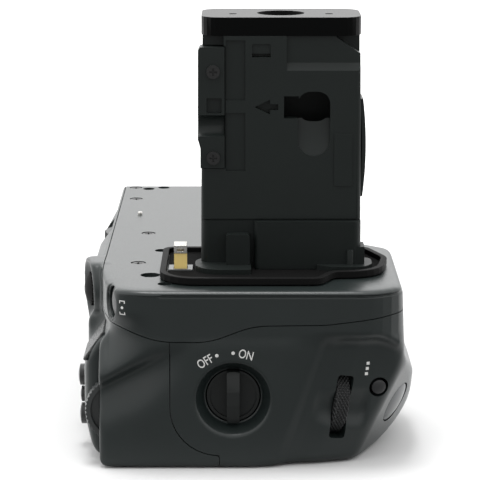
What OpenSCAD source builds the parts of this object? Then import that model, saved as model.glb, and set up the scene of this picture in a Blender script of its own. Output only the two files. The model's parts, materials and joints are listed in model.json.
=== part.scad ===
// Battery grip for a camera: a base that screws under the camera and holds two battery packs
// in a slide-out tray, a tower that goes up into the camera's own battery chamber, and a second
// set of controls for holding the camera upright.
// Origin: mouth of the tripod socket, on the underside. +X is the far end, +Y the rear, +Z up.

/* [Base] */
// Tripod axis to the control end
near_reach = 80; // [78:0.5:90]
// Tripod axis to the far end
far_reach = 55; // [54:0.5:65]
// Height of the base
base_h = 43.2; // [42.8:0.2:48]
// Tripod axis to the rear wall of the control half
rear_y = 31.5; // [31:0.25:36]
// Tripod axis to the rear wall of the far half
rear_far_y = 28.5; // [28:0.25:31]
// Tripod axis to the front of the hand grip
grip_y = 48.2; // [47:0.2:56]
// Tripod axis to the front of the slim half
slim_y = 24.5; // [24.2:0.1:30]
// Thickness of the moulded covers
wall = 2; // [1.6:0.1:2.4]
// Gap between neighbouring covers
parting_gap = 0.25; // [0.1:0.05:0.5]
// Height of the thumb ledge and of the top of the control deck
ledge_z = 31; // [29:0.5:33]

/* [Controls] */
// Radius of the power knob
knob_r = 6.2; // [5:0.1:7]
// Depth of the conical well round the power knob
knob_well_depth = 3.6; // [2.5:0.1:4]
// Radius of the front dial
dial_r = 9; // [8:0.1:9.5]
// Width of the front dial
dial_w = 3.4; // [2.4:0.1:4]
// Ridges round the front dial
dial_ridges = 40; // [24:1:60]
// Radius of the rear dial
rear_dial_r = 8; // [7:0.1:8.4]
// Width of the rear dial
rear_dial_w = 4; // [3:0.1:4.2]
// Radius of the shutter button
shutter_r = 5; // [4:0.1:5.5]
// Radius of the small button on the control deck
function_r = 1.7; // [1.4:0.1:2.2]
// Radius of the button at the rear corner
focus_r = 3.3; // [3:0.1:3.6]
// Radius of the two outer rear buttons
rear_button_r = 2.6; // [2:0.1:3]
// Radius of the joystick's cap
stick_r = 4.2; // [3:0.1:4.4]
// Travel of the buttons
button_travel = 0.8; // [0.5:0.1:1]

/* [Tower] */
// Width of the tower at its foot
tower_w = 38.3; // [36:0.1:39]
// Thickness of the tower
tower_t = 20.8; // [20:0.1:21.4]
// Height of the tower above the base
tower_h = 60.8; // [58:0.2:64]
// Control end to the tower's near face
tower_back = 22.2; // [21.5:0.1:26]
// Draft of each side of the tower, over its height
tower_draft = 0.45; // [0:0.05:0.8]
// Height of the tower's cap
cap_h = 4.4; // [3.5:0.1:6]

/* [Battery tray] */
// Width of a pack's well
pack_w = 38.8; // [36:0.1:39.2]
// Control end to the tray: room for the knob, the dials and the board
control_room = 16; // [15.5:0.1:20]
// Room above the packs for the gears and the thumbwheel
gear_room = 11.2; // [11:0.1:13]
// Walls of the tray
tray_wall = 1; // [0.8:0.1:1.2]

/* [Fixings] */
// Radius of the screw that enters the camera
mount_screw_r = 3.175; // [3:0.025:3.5]
// Length of that screw above the base
mount_screw_reach = 5.5; // [4:0.1:7]
// Radius of the tripod socket's thread
tripod_r = 3.175; // [3:0.025:3.5]
// Depth of the tripod socket
tripod_depth = 6.5; // [5:0.1:7]
// Teeth on the thumbwheel's gear
wheel_teeth = 15; // [13:1:15]
// Teeth on the screw's gear
screw_teeth = 26; // [25:1:28]

/* [Clearances] */
// Radial clearance of a shaft that turns
run_gap = 0.06; // [0.03:0.01:0.1]
// Clearance round pieces that slide or turn past a wall
free_gap = 0.35; // [0.25:0.05:0.5]
// Clearance between pieces that sit together
seat_gap = 0.2; // [0.05:0.05:0.25]

/* [Hidden] */
$fn = 40;

over = 1;
near_x = -near_reach;
// Face of the control end below the rounded lip of the top
lip_step = 0.5;
lip_h = 1.6;
face_x = near_x + lip_step;
inner_gap = wall + seat_gap;

// Control end, rear side: a narrow end shell, then a step out to the thumb rest
end_shell_y = rear_y - 4.4;
step_x = near_x + 8.2;
corner_y = rear_y - 8.8;
corner_x = near_x + 14;
corner_out = 3.5;
stick_face_x = near_x + 24;
stick_face_y = rear_y - 4.1;
stick_face_end = near_x + 42;
top_rear_y = rear_y - 4.3;
shoulder_z = base_h - 5.2;
// The rear wall draws in towards the bottom
heel_in = 3;
heel_z = 10.5;
bump_end = 4;
bump_slope = 18;

// Front side: hand grip, then a slope back to the slim half
grip_near_r = 16;
grip_end_x = near_x + 44;
slim_start_x = near_x + 66;
grip_top_y = grip_y - 5;
grip_waist_y = grip_y - 3.4;
grip_waist_z = 29;
grip_belly_z = 23.5;
grip_bottom_r = 19;

// Control deck: a sunk plane beside the power knob
deck_y = -23.7;
deck_z = ledge_z - 0.4;
deck_yaw = 15.56;
deck_pitch = -5.34;
// Bevel of the lower front corner, which carries the shutter button
bevel_point = [near_x + 6.8, 8.6 - grip_y, 13.5];
bevel_pitch = -23;
bevel_yaw = 63.7;

// Thumb rest slope under the joystick
rest_low_z = 23.5;
rest_high_y = rear_y - 6;
rest_high_z = base_h - 11;
rest_angle = atan2(rest_high_z - rest_low_z, rear_y - rest_high_y);
rest_end = near_x + 26;

// Covers
seam_y = 10.4;
seam_foot_y = -1.2;
seam_foot_z = 3.2;
seam_change_x = slim_start_x + 20;
seam_rear_z = base_h - 8.3;
seam_low_z = base_h - 12.6;
seam_high_z = base_h - 8.7;
seam_front_z = base_h - 2.2;
plate_inset = 6;

// Battery bay and tray
bay_gap = free_gap;
tray_w = pack_w + 2 * tray_wall;
tray_floor_z = 9.6;
pack_h = base_h - gear_room - tray_floor_z - tray_wall;
tray_h = pack_h + tray_wall;
tray_end_x = far_reach - wall;
tray_near_x = near_x + control_room;
tray_l = tray_end_x - tray_near_x;
pack_l = (tray_l - 3 * tray_wall) / 2;
bay_near_x = tray_near_x - 0.5;
bay_top_z = tray_floor_z + tray_h + bay_gap;
bay_floor_z = tray_floor_z - bay_gap;
cap_margin = 2;
// Seam of the far half, above the tray's cap
seam_far_z = bay_top_z + cap_margin + 0.4;
frame_near_x = bay_near_x - 2.4;
board_t = 1.2;

// Tower
tower_x = near_x + tower_back;
tower_y = -15.8;
tower_mid_x = tower_x + tower_t / 2;
tower_top_z = base_h + tower_h;
tower_joint_z = base_h + 12.5;
tower_shell_top = tower_top_z - cap_h;
tower_rear_y = tower_y + tower_w / 2;
tower_front_y = tower_y - tower_w / 2;
tower_wall = 2;

// Power knob
knob_y = -4.4;
knob_z = 16.9;
knob_face_x = face_x + knob_well_depth;
knob_disc = 2.6;
knob_well_r = knob_r + 2.75;
knob_shaft_r = 2.2;
knob_bar_w = 3;
knob_floor_x = knob_face_x + knob_disc + free_gap;
knob_floor_t = 1;

// Front dial, placed on the control deck
dial_y = -30.3;
dial_z = 14.05;
dial_tilt = 7;
dial_proud = 1.05;
dial_depth = dial_r - dial_proud;
dial_slot_l = 15.6;
dial_axle_r = 1.2;
dial_block_t = 2.2;
scoop_r = 8.4;
scoop_depth = 1;

// Rear dial, on an axle along the grip
rear_dial_y = rear_y - 8.9;
rear_dial_z = 13.3;
rear_dial_x = step_x - free_gap - rear_dial_w;
rear_axle_r = 1.3;
rear_dial_rim = 1.4;

// Thumbwheel and mount screw gears
gear_module = 1;
gear_z = bay_top_z + 2;
gear_h = 2.5;
wheel_y = gear_module * (wheel_teeth + screw_teeth) / 2;
wheel_sink = 1.3;
wheel_r = rear_y - wheel_sink - wheel_y;
wheel_z = gear_z + gear_h + 0.3;
wheel_top_z = base_h - wall - free_gap;
wheel_axle_r = 1.5;
tooth_play = 0.5;
window_half = sqrt(pow(wheel_r, 2) - pow(top_rear_y - wheel_y, 2)) + 2 * free_gap;
gear_tip = gear_module;

// Buttons: place, outward direction as pitch and yaw of the local -X axis, radius
shutter_p = [near_x + 16.3, -43.5, 11.7];
function_y = -39.1;
function_z = 18.4;
focus_x = near_x + 7.5;
focus_z = base_h - focus_r - 1.1;
focus_rim = 0.8;
focus_sink = 0.7;
focus_yaw = -90 + atan2(corner_out, corner_x - near_x);
rear_button_x = near_x + 20;
rear_button_z = [17.7, 12.9, 8];
rear_button_small = rear_button_r - 0.7;
rear_button_proud = [1.6, 1.2, 1.4];
switch_h = 0.8;
button_body = 2.2;

// Joystick
stick_x = near_x + 34;
stick_z = base_h - 7.4;
stick_yaw = -90 + atan2(rear_y - stick_face_y, stick_face_end - stick_face_x);
stick_y = stick_face_y + (stick_x - stick_face_x) * tan(stick_yaw + 90);
ring_r = 4.9;
ring_in = 3.5;
ring_t = 1.6;
stick_well_r = ring_r + 0.6;
stick_pivot = 3;
// Face to the joystick's top, and the radius of its crown
stick_proud = 2.6;
stick_crown = 7;
stick_boss_r = stick_well_r + 1;
trunnion_r = 0.5;

// Fasteners and holes in the top face: [x, y]
top_screw_at = [[51.5, 24.2], [34.2, 23.3], [-13.6, 17.9], [-49.2, 18.9]];
top_hole_at = [[49.5, 20.4], [51.5, 16.1], [-34.9, 13.7], [-72, 11.7]];
top_big_hole_at = [-62.7, 15.4];
screw_head_r = 1.6;
screw_head_h = 0.9;
screw_sink = 0.35;
screw_shank_r = 0.9;
screw_l = 4;
base_screw_at = [for (x = [-50, 40]) for (y = [-13, 17]) [x, y]];

// Seal round the tower's foot
seal_h = 1.7;
seal_w = 1.5;
seal_x = near_x + 5.4;
seal_far_x = tower_x + tower_t - 2;
seal_rear_y = tower_rear_y + 9.7;

// Unit vector
function unit(v) = v / norm(v);
// Angle folded into -180 to 180
function fold(a) = a > 180 ? a - 360 : a < -180 ? a + 360 : a;
// Points of one rounded corner: here is [x, y, radius]
function corner(before, here, after, n) =
    let (p = [here[0], here[1]], r = here[2])
    r == undef || r <= 0 ? [p] :
    let (a = unit([before[0], before[1]] - p),
         b = unit([after[0], after[1]] - p),
         half = acos(max(-1, min(1, a * b))) / 2,
         c = p + unit(a + b) * r / sin(half),
         s = p + a * r / tan(half) - c,
         e = p + b * r / tan(half) - c,
         a0 = atan2(s[1], s[0]),
         sweep = fold(atan2(e[1], e[0]) - a0))
    [for (i = [0:n]) c + r * [cos(a0 + sweep * i / n), sin(a0 + sweep * i / n)]];
// Closed outline whose corners [x, y, radius] are rounded
function rounded(path, n = 6) =
    let (m = len(path))
    [for (i = [0:m - 1]) each corner(path[(i + m - 1) % m], path[i], path[(i + 1) % m], n)];

// Outline of the base above the ledge
module upper_plan() {
    polygon(rounded([
        [face_x - lip_step, corner_y, 2.5],
        [corner_x, corner_y + corner_out, 4],
        [stick_face_x, stick_face_y, 6],
        [stick_face_end, rear_y, 6],
        [bump_end, rear_y, 12],
        [bump_end + bump_slope, rear_far_y, 12],
        [far_reach, rear_far_y, 1.5],
        [far_reach, -slim_y, 4],
        [slim_start_x, -slim_y, 14],
        [grip_end_x, -grip_y, 16],
        [near_x, -grip_y, grip_near_r]]));
}

// Outline of the base below the ledge
module lower_plan() {
    polygon(rounded([
        [near_x, end_shell_y, 1],
        [step_x, end_shell_y],
        [step_x, rear_y, 1.2],
        [bump_end, rear_y, 12],
        [bump_end + bump_slope, rear_far_y, 12],
        [far_reach, rear_far_y, 1.5],
        [far_reach, -slim_y, 4],
        [slim_start_x, -slim_y, 14],
        [grip_end_x, -grip_y, 16],
        [near_x, -grip_y, grip_near_r]]));
}

// Outline seen from the control end, as (y, z)
module end_outline() {
    polygon(rounded([
        [rear_y - heel_in, 0, 5.5],
        [rear_y, heel_z, 8],
        [rear_y, shoulder_z, 3],
        [top_rear_y + 0.3, base_h, 0.8],
        [-grip_top_y, base_h, 1.5],
        [-grip_waist_y, grip_waist_z, 5],
        [-grip_y, grip_belly_z, 5],
        [-grip_y, 0, grip_bottom_r]]));
}

// Outline seen from the front, as (x, z); the outside has a crease under the top's lip
module side_outline(creased) {
    polygon(rounded(concat([
        [face_x, 0, 1.5],
        [far_reach, 0, 3],
        [far_reach, base_h, 1.5],
        [near_x + 4.2, base_h, 3]],
        creased ? [[near_x, base_h - lip_h + 0.5, 0.6],
            [face_x + 0.3, base_h - lip_h - 0.1],
            [face_x, base_h - lip_h - 0.5]] : [[face_x, base_h - lip_h]])));
}

// Extrudes a (y, z) outline along X
module along_x(x0, x1) {
    translate([x0, 0, 0]) rotate([90, 0, 90]) linear_extrude(x1 - x0) children();
}

// Extrudes an (x, z) outline along Y
module along_y(y0, y1) {
    translate([0, y1, 0]) rotate([90, 0, 0]) linear_extrude(y1 - y0) children();
}

// Places children on the control deck, local -X outwards
module on_deck() {
    translate([face_x, deck_y, deck_z]) rotate([0, deck_pitch, deck_yaw]) children();
}

// Places children on the bevel, local -X outwards
module on_bevel() {
    translate(bevel_point) rotate([0, bevel_pitch, bevel_yaw]) children();
}

// What the control deck takes off the corner
module deck_cut(inset) {
    intersection() {
        on_deck() translate([inset - 30, -60, -60]) cube([30, 90, 120]);
        translate([near_x - over, -60, -over]) cube([30, 90, ledge_z + inset + over]);
    }
}

// What the bevel takes off the lower front corner
module bevel_cut(inset) {
    on_bevel() translate([inset - 40, -60, -60]) cube([40, 120, 120]);
}

// What the thumb rest takes off the ledge
module rest_cut(inset) {
    intersection() {
        translate([near_x - over, rear_y, rest_low_z]) rotate([180 - rest_angle, 0, 0])
            translate([0, -10, inset - 30]) cube([rest_end - near_x + over + inset, 40, 30]);
        translate([near_x - 2 * over, 0, 0]) cube([60, 80, rest_high_z + inset]);
    }
}

// The base's solid form, shrunk by inset
module form(inset = 0) {
    difference() {
        intersection() {
            union() {
                linear_extrude(ledge_z - inset) offset(delta = -inset) lower_plan();
                translate([0, 0, ledge_z - inset])
                    linear_extrude(base_h - ledge_z + inset) offset(delta = -inset) upper_plan();
            }
            along_x(near_x - over, far_reach + over) offset(delta = -inset) end_outline();
            along_y(-grip_y - over, rear_y + over) offset(delta = -inset) side_outline(inset == 0);
        }
        deck_cut(inset);
        bevel_cut(inset);
        rest_cut(inset);
    }
}

module shell() {
    difference() {
        form(0);
        form(wall);
    }
}

// Region of the top cover, as (y, z): above the wavy seam and in front of the rear wall
module top_area() {
    polygon(concat([[top_rear_y, base_h + over], [top_rear_y, seam_rear_z]],
        rounded([[top_rear_y, seam_rear_z], [12, seam_low_z, 24], [1, seam_low_z, 20],
            [-9, seam_high_z, 20], [-26, seam_high_z + 0.2, 30], [-grip_y - 3, seam_front_z]]),
        [[-grip_y - 3, base_h + over]]));
}

// Region of the front cover, as (y, z): its lower rear corner is a wide curve
module front_area() {
    polygon(rounded([[seam_y, base_h], [seam_y, seam_foot_z, 11.5],
        [seam_foot_y, seam_foot_z, 0.8], [seam_foot_y, -over], [-grip_y - 3, -over],
        [-grip_y - 3, base_h]]));
}

module top_region(grow) {
    along_x(near_x - over, seam_change_x) offset(delta = grow) top_area();
    along_x(seam_change_x, far_reach + over) offset(delta = grow)
        polygon([[top_rear_y, base_h + over], [top_rear_y, seam_far_z],
            [-grip_y - 3, seam_far_z], [-grip_y - 3, base_h + over]]);
}

module front_region(grow) {
    along_x(near_x - over, far_reach + over) offset(delta = grow) front_area();
}

// Bottom plate's outline
module plate_plan(inset) {
    offset(delta = -inset) intersection() {
        lower_plan();
        translate([near_x + 12, -slim_y]) square([far_reach - near_x - 12, rear_y + slim_y]);
    }
}

// Opening of the battery bay at the far end, and the recess for the tray's cap
module bay(grow) {
    translate([bay_near_x, -tray_w / 2 - bay_gap, bay_floor_z])
        cube([far_reach - bay_near_x + over, tray_w + 2 * bay_gap, bay_top_z - bay_floor_z]);
    translate([tray_end_x - seat_gap, 0, 0]) along_x(0, wall + seat_gap + over)
        offset(delta = grow) cap_outline();
}

// Outline of the tray's cap, as (y, z)
module cap_outline() {
    polygon(rounded([for (c = [[1, 0], [1, 1], [-1, 1], [-1, 0]])
        [c[0] * (tray_w / 2 + cap_margin),
         (c[1] > 0 ? bay_top_z : bay_floor_z) + (c[1] > 0 ? 1 : -1) * (cap_margin - 0.4), 3]]));
}

// A round solid that starts at the surface and goes inwards: local -X is outwards
module inward(r, from, to) {
    translate([from, 0, 0]) rotate([0, 90, 0]) cylinder(r = r, h = to - from);
}

// Places children at each button, local -X outwards
module at_shutter() {
    on_bevel() translate(shutter_local) children();
}
// The shutter's place in the bevel's plane
shutter_local = [0, -10.3, -1.9];

module at_function() {
    on_deck() translate([0, (function_y - deck_y) / cos(deck_yaw), function_z - deck_z]) children();
}

module at_focus() {
    translate([focus_x, corner_y + (focus_x - near_x) * tan(focus_yaw + 90), focus_z])
        rotate([0, 0, focus_yaw]) children();
}

module at_rear_button(i) {
    translate([rear_button_x, rear_y, rear_button_z[i]]) rotate([0, 0, -90]) children();
}

module at_stick() {
    translate([stick_x, stick_y, stick_z]) rotate([0, 0, stick_yaw]) children();
}

module at_dial() {
    on_deck() translate([dial_depth, (dial_y - deck_y) / cos(deck_yaw), dial_z - deck_z])
        rotate([dial_tilt, 0, 0]) children();
}

// Depth of a button's well below the surface
function well_depth() = button_body + button_travel + switch_h + 0.1;

// Boss round a button's well
module button_boss(r) {
    inward(r + free_gap + 1.2, wall / 2, well_depth() + 1);
}

// Well that a button slides in
module button_well(r) {
    inward(r + free_gap, -over, well_depth());
}

// A button: a cap with a domed face, standing proud by proud
module button(r, proud) {
    intersection() {
        inward(r, -proud, button_body);
        translate([3 * r - proud, 0, 0]) sphere(r = 3 * r, $fn = 120);
        inward(r, -proud, button_body);
    }
}

// Switch under a button, on the floor of its well
module button_switch(r) {
    inward(min(r * 0.7, 2), well_depth() - switch_h, well_depth());
}

module top_cover() {
    color("#3a3f40")
    difference() {
        union() {
            intersection() {
                shell();
                top_region(-parting_gap / 2);
            }
            intersection() {
                at_focus() button_boss(focus_r);
                form(0.6);
                top_region(-parting_gap / 2);
            }
        }
        at_focus() button_well(focus_r);
        at_focus() inward(focus_r + focus_rim, -over, focus_sink);
        translate([0, wheel_y, wheel_z - free_gap])
            cylinder(r = wheel_r + 2 * free_gap, h = wheel_top_z - wheel_z + 2 * free_gap);
        at_stick() inward(stick_boss_r + parting_gap, -over, stick_pivot + 4 + parting_gap);
        // Holes for the mount screw, the fasteners and the locating holes
        translate([0, 0, base_h - wall - over])
            cylinder(r = mount_screw_r + 1 + run_gap, h = wall + 2 * over);
        for (p = top_screw_at) {
            translate([p[0], p[1], base_h - screw_sink - screw_head_h])
                cylinder(r = screw_head_r + 0.25, h = wall);
            translate([p[0], p[1], base_h - wall - over])
                cylinder(r = screw_shank_r + run_gap, h = wall + over);
        }
        for (p = top_hole_at)
            translate([p[0], p[1], base_h - 1.2]) cylinder(r = 1.7, h = wall);
        translate([top_big_hole_at[0], top_big_hole_at[1], base_h - 1.2])
            cylinder(r = 2.4, h = wall);
        translate([11.3, 21.2, base_h - 1]) cylinder(r = 0.6, h = 2);
        // Long shallow groove beside the print area
        along_groove() square([1.2, over], center = true);
    }
}

// Shallow groove in the top face, along the grip
module along_groove() {
    translate([-41, 16.9, base_h]) rotate([90, 0, 90]) linear_extrude(24) scale([1, 0.6]) children();
}

module rear_cover() {
    color("#353a3b")
    difference() {
        union() {
            difference() {
                shell();
                top_region(parting_gap / 2);
                front_region(parting_gap / 2);
            }
            // Blocks that hold the rear dial, the rear buttons and the joystick
            intersection() {
                union() {
                    translate([face_x + 1, rear_dial_y - 9.4, rear_dial_z - 9.6])
                        cube([step_x - face_x + 1.8, 18.6, 19.2]);
                    for (i = [0:2]) at_rear_button(i) button_boss(i == 1 ? rear_button_small : rear_button_r);
                    at_stick() inward(stick_boss_r, wall / 2, stick_pivot + 4);
                }
                form(0.6);
            }
            // Raised rim round the joystick
            at_stick() rotate([0, 90, 0]) translate([0, 0, -0.7])
                cylinder(r1 = stick_boss_r - 0.5, r2 = stick_boss_r, h = 0.9);
        }
        bay(seat_gap);
        translate([rear_dial_x - free_gap, rear_dial_y, rear_dial_z]) rotate([0, 90, 0])
            cylinder(r = rear_dial_r + 0.5, h = rear_dial_w + 2 * free_gap);
        translate([face_x + 1.2, rear_dial_y, rear_dial_z]) rotate([0, 90, 0])
            cylinder(r = rear_axle_r, h = 30);
        for (i = [0:2]) at_rear_button(i) button_well(i == 1 ? rear_button_small : rear_button_r);
        at_stick() {
            inward(stick_well_r, -over - 1, stick_pivot + 3);
            translate([stick_pivot, 0, -stick_well_r - 0.7])
                cylinder(r = trunnion_r + run_gap, h = 2 * stick_well_r + 1.4);
        }
        // Window that the thumbwheel's rim comes through
        translate([-window_half, top_rear_y - 6, wheel_z - free_gap])
            cube([2 * window_half, 30, wheel_top_z - wheel_z + 2 * free_gap]);
        translate([0, 0, -over]) linear_extrude(wall + seat_gap + over) plate_plan(plate_inset - seat_gap);
        pad_plate(0.6, seat_gap);
    }
}

module front_cover() {
    color("#34393a")
    difference() {
        union() {
            difference() {
                intersection() {
                    shell();
                    front_region(-parting_gap / 2);
                }
                top_region(parting_gap / 2);
            }
            intersection() {
                union() {
                    // Cup behind the power knob
                    translate([face_x + 1, knob_y, knob_z]) rotate([0, 90, 0])
                        cylinder(r = knob_r + 2.2, h = knob_floor_x + knob_floor_t - face_x - 1);
                    // Block that holds the front dial
                    at_dial() translate([1 - dial_depth, -dial_w / 2 - free_gap - dial_block_t, -8.4])
                        cube([dial_depth + 1.6, dial_w + 2 * (free_gap + dial_block_t), 16.8]);
                    at_shutter() button_boss(shutter_r);
                    at_function() button_boss(function_r + 0.5);
                }
                form(0.6);
            }
        }
        bay(seat_gap);
        // Well, bore and shaft hole of the power knob
        translate([face_x - 0.02, knob_y, knob_z]) rotate([0, 90, 0])
            cylinder(r1 = knob_well_r, r2 = knob_r + 0.7, h = knob_well_depth);
        translate([face_x + 0.5, knob_y, knob_z]) rotate([0, 90, 0])
            cylinder(r = knob_r + free_gap, h = knob_floor_x - face_x - 0.5);
        translate([face_x + 0.5, knob_y, knob_z]) rotate([0, 90, 0])
            cylinder(r = knob_shaft_r + run_gap, h = 20);
        // Slot, pocket and axle bore of the front dial
        at_dial() {
            rotate([90, 0, 0])
                cylinder(r = dial_r + 0.5, h = dial_w + 2 * free_gap, center = true);
            translate([-dial_depth - 2, -dial_w / 2 - free_gap, -dial_slot_l / 2])
                cube([5.4, dial_w + 2 * free_gap, dial_slot_l]);
            rotate([90, 0, 0]) cylinder(r = dial_axle_r, h = 20, center = true);
        }
        // Hollow for the fingertip, across the dial
        at_dial() translate([-dial_depth - scoop_r + scoop_depth, 0, 0]) rotate([90, 0, 0])
            cylinder(r = scoop_r, h = 18, center = true);
        at_shutter() button_well(shutter_r);
        at_function() button_well(function_r);
        at_function() inward(function_r + 0.7, -over, 0.9);
        translate([0, 0, -over]) linear_extrude(wall + seat_gap + over) plate_plan(plate_inset - seat_gap);
    }
}

module base_plate() {
    color("#2b2f30")
    difference() {
        linear_extrude(wall) plate_plan(plate_inset);
        translate([0, 0, -over]) cylinder(r = 8 + seat_gap, h = wall + 2 * over);
        for (p = base_screw_at) {
            translate([p[0], p[1], -over]) cylinder(r = screw_head_r + 0.25, h = over + 1.2);
            translate([p[0], p[1], 0]) cylinder(r = screw_shank_r + run_gap, h = wall + over);
        }
    }
}

// A screw with its head's top at the origin, shank along -Z, and a cross recess
module fastener(shank_l) {
    difference() {
        union() {
            translate([0, 0, -screw_head_h]) cylinder(r = screw_head_r, h = screw_head_h);
            translate([0, 0, -screw_head_h - shank_l]) cylinder(r = screw_shank_r, h = shank_l);
        }
        for (a = [0, 90]) rotate([0, 0, a])
            translate([-0.9, -0.22, -0.5]) cube([1.8, 0.44, 1]);
    }
}

module base_screws() {
    color("#222222")
    for (p = base_screw_at) translate([p[0], p[1], 0.2]) mirror([0, 0, 1])
        translate([0, 0, -0.1]) fastener(screw_l);
}

module top_screws() {
    color("#222222")
    for (p = top_screw_at) translate([p[0], p[1], base_h - screw_sink]) fastener(screw_l);
}

// Chassis between the covers, with the battery bay and the gear pocket
module inner_frame() {
    color("#26292a")
    difference() {
        intersection() {
            form(inner_gap);
            translate([frame_near_x, -slim_y + inner_gap, 0])
                cube([far_reach - frame_near_x, rear_y + slim_y - inner_gap, base_h]);
        }
        bay(seat_gap);
        // Room for the gears, the thumbwheel and their pivots
        translate([0, 0, gear_z - 0.4])
            cylinder(r = gear_module * screw_teeth / 2 + gear_tip + 0.6, h = base_h);
        translate([0, wheel_y, gear_z - 0.4]) cylinder(r = wheel_r + 0.7, h = base_h);
        translate([0, 0, gear_z - 1.5]) cylinder(r = 2 + run_gap, h = 5);
        translate([0, wheel_y, gear_z - 1.5]) cylinder(r = wheel_axle_r, h = 5);
        translate([0, 0, -over]) cylinder(r = 8 + seat_gap, h = tripod_depth + over + 2 + seat_gap);
        for (p = top_screw_at) translate([p[0], p[1], base_h - 8]) cylinder(r = screw_shank_r + run_gap, h = 9);
        for (p = base_screw_at) translate([p[0], p[1], 0]) cylinder(r = screw_shank_r + run_gap, h = 6.2);
        // Room for the bosses of the rear buttons and the joystick
        for (i = [0:2]) at_rear_button(i) inward(rear_button_r + free_gap + 1.2 + seat_gap, 0, well_depth() + 1 + seat_gap);
        at_stick() inward(stick_boss_r + seat_gap, 0, stick_pivot + 4 + seat_gap);
        at_focus() inward(focus_r + free_gap + 1.2 + seat_gap, 0, well_depth() + 1 + seat_gap);
        // Pockets of the bay contacts
        for (y = contact_rows) translate([bay_near_x - 0.5, y - 1.6, tray_floor_z + 5])
            cube([over + 0.5, 3.2, 12]);
        // Pockets under the bay, with posts left for the base screws
        difference() {
            for (x = [[frame_near_x + 4, -11], [11, far_reach - 6]])
                translate([x[0], 6 - slim_y, 0])
                    cube([x[1] - x[0], 2 * slim_y - 12, bay_floor_z - 1.6]);
            for (p = base_screw_at) translate([p[0], p[1], 0]) cylinder(r = 3, h = base_h);
        }
        // Room for the shaft of the rear dial
        translate([frame_near_x - over, rear_dial_y, rear_dial_z]) rotate([0, 90, 0])
            cylinder(r = rear_axle_r + 0.6, h = 3);
    }
}
contact_rows = [-6, 0, 6];

module tripod_socket() {
    color("#b9b4a8")
    difference() {
        union() {
            cylinder(r = 8, h = wall);
            cylinder(r = 6.2, h = tripod_depth + 2);
        }
        translate([0, 0, -over]) cylinder(r = tripod_r, h = tripod_depth + over);
    }
}

foot_t = 1.2;

// Tower outline in plan, with rounded corners
module tower_plan(inset, r) {
    polygon(rounded([
        [tower_x + inset, tower_rear_y - inset, r],
        [tower_x + tower_t - inset, tower_rear_y - inset, r],
        [tower_x + tower_t - inset, tower_front_y + inset, r],
        [tower_x + inset, tower_front_y + inset, r]]));
}

module tower_base() {
    color("#1b1d1e")
    difference() {
        union() {
            translate([0, 0, base_h]) linear_extrude(tower_joint_z - base_h - 0.4) tower_plan(0, 2);
            translate([0, 0, base_h]) linear_extrude(tower_joint_z - base_h) tower_plan(0.5, 2);
            // Thicker part in front of the rear edge
            translate([0, 0, base_h]) linear_extrude(tower_joint_z - base_h - 0.4)
                polygon(rounded([[tower_x - 2.2, tower_rear_y - 12.7, 1.4],
                    [tower_x + 4, tower_rear_y - 12.7], [tower_x + 4, tower_front_y],
                    [tower_x - 2.2, tower_front_y, 2]]));
            // Foot with round ends
            translate([0, 0, base_h + seal_plate_t]) linear_extrude(foot_t) {
                polygon(rounded([[tower_x - 8.4, tower_rear_y + 1.4, 6.5],
                    [tower_x + 6, tower_rear_y + 1.4, 5], [tower_x + 6, tower_rear_y - 12],
                    [tower_x - 8.4, tower_rear_y - 12, 1]]));
                polygon(rounded([[tower_x - 5.2, tower_front_y + 7, 1],
                    [tower_x - 3, tower_front_y + 10.5], [tower_x + 6, tower_front_y + 10.5],
                    [tower_x + 6, tower_front_y - 2.8, 3], [tower_x - 1.5, tower_front_y - 2.8, 5],
                    [tower_x - 5.2, tower_front_y - 0.5, 4]]));
            }
            // Locating tab
            along_x(tower_x - 3.2, tower_x + 1) polygon(rounded([
                [tower_rear_y - 6, base_h + 1], [tower_rear_y - 6, base_h + 9.2, 0.8],
                [tower_rear_y - 11.7, base_h + 9.2, 0.8], [tower_rear_y - 11.7, base_h + 1]]));
            // Peg and block at the front corner
            translate([tower_x - 2.6, tower_front_y + 2.6, base_h]) cylinder(r = 0.8, h = 5.4);
            translate([tower_x - 2, tower_front_y - 0.9, base_h]) cube([6, 2.8, 6]);
        }
        // Duct for the leads
        translate([tower_x + 4, tower_front_y + 4, base_h - over])
            cube([tower_t - 8, tower_w - 8, tower_joint_z]);
        // Seat of the gasket and its plate
        translate([0, 0, base_h - over]) linear_extrude(over + seal_plate_t) difference() {
            offset(delta = 1) seal_plan(0);
            tower_plan(0.3, 2);
        }
    }
}
seal_plate_t = 0.6;

// Tapered side outline of the tower's upper part, as (y, z)
module tower_side(inset) {
    polygon([
        [tower_rear_y - inset, tower_joint_z],
        [tower_rear_y - inset - tower_draft, tower_shell_top],
        [tower_front_y + inset + tower_draft, tower_shell_top],
        [tower_front_y + inset, tower_joint_z]]);
}

// Cut into the tower's near face: an outline (y, z) sunk by depth
module face_cut(depth) {
    along_x(tower_x - over, tower_x + depth) children();
}

// Rectangle from one corner to the other, as (y, z) offsets from the tower's rear edge and joint
module face_box(y0, z0, y1, z1, r = 0) {
    polygon(rounded([
        [tower_rear_y + y0, tower_joint_z + z0, r], [tower_rear_y + y1, tower_joint_z + z0, r],
        [tower_rear_y + y1, tower_joint_z + z1, r], [tower_rear_y + y0, tower_joint_z + z1, r]]));
}

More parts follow.
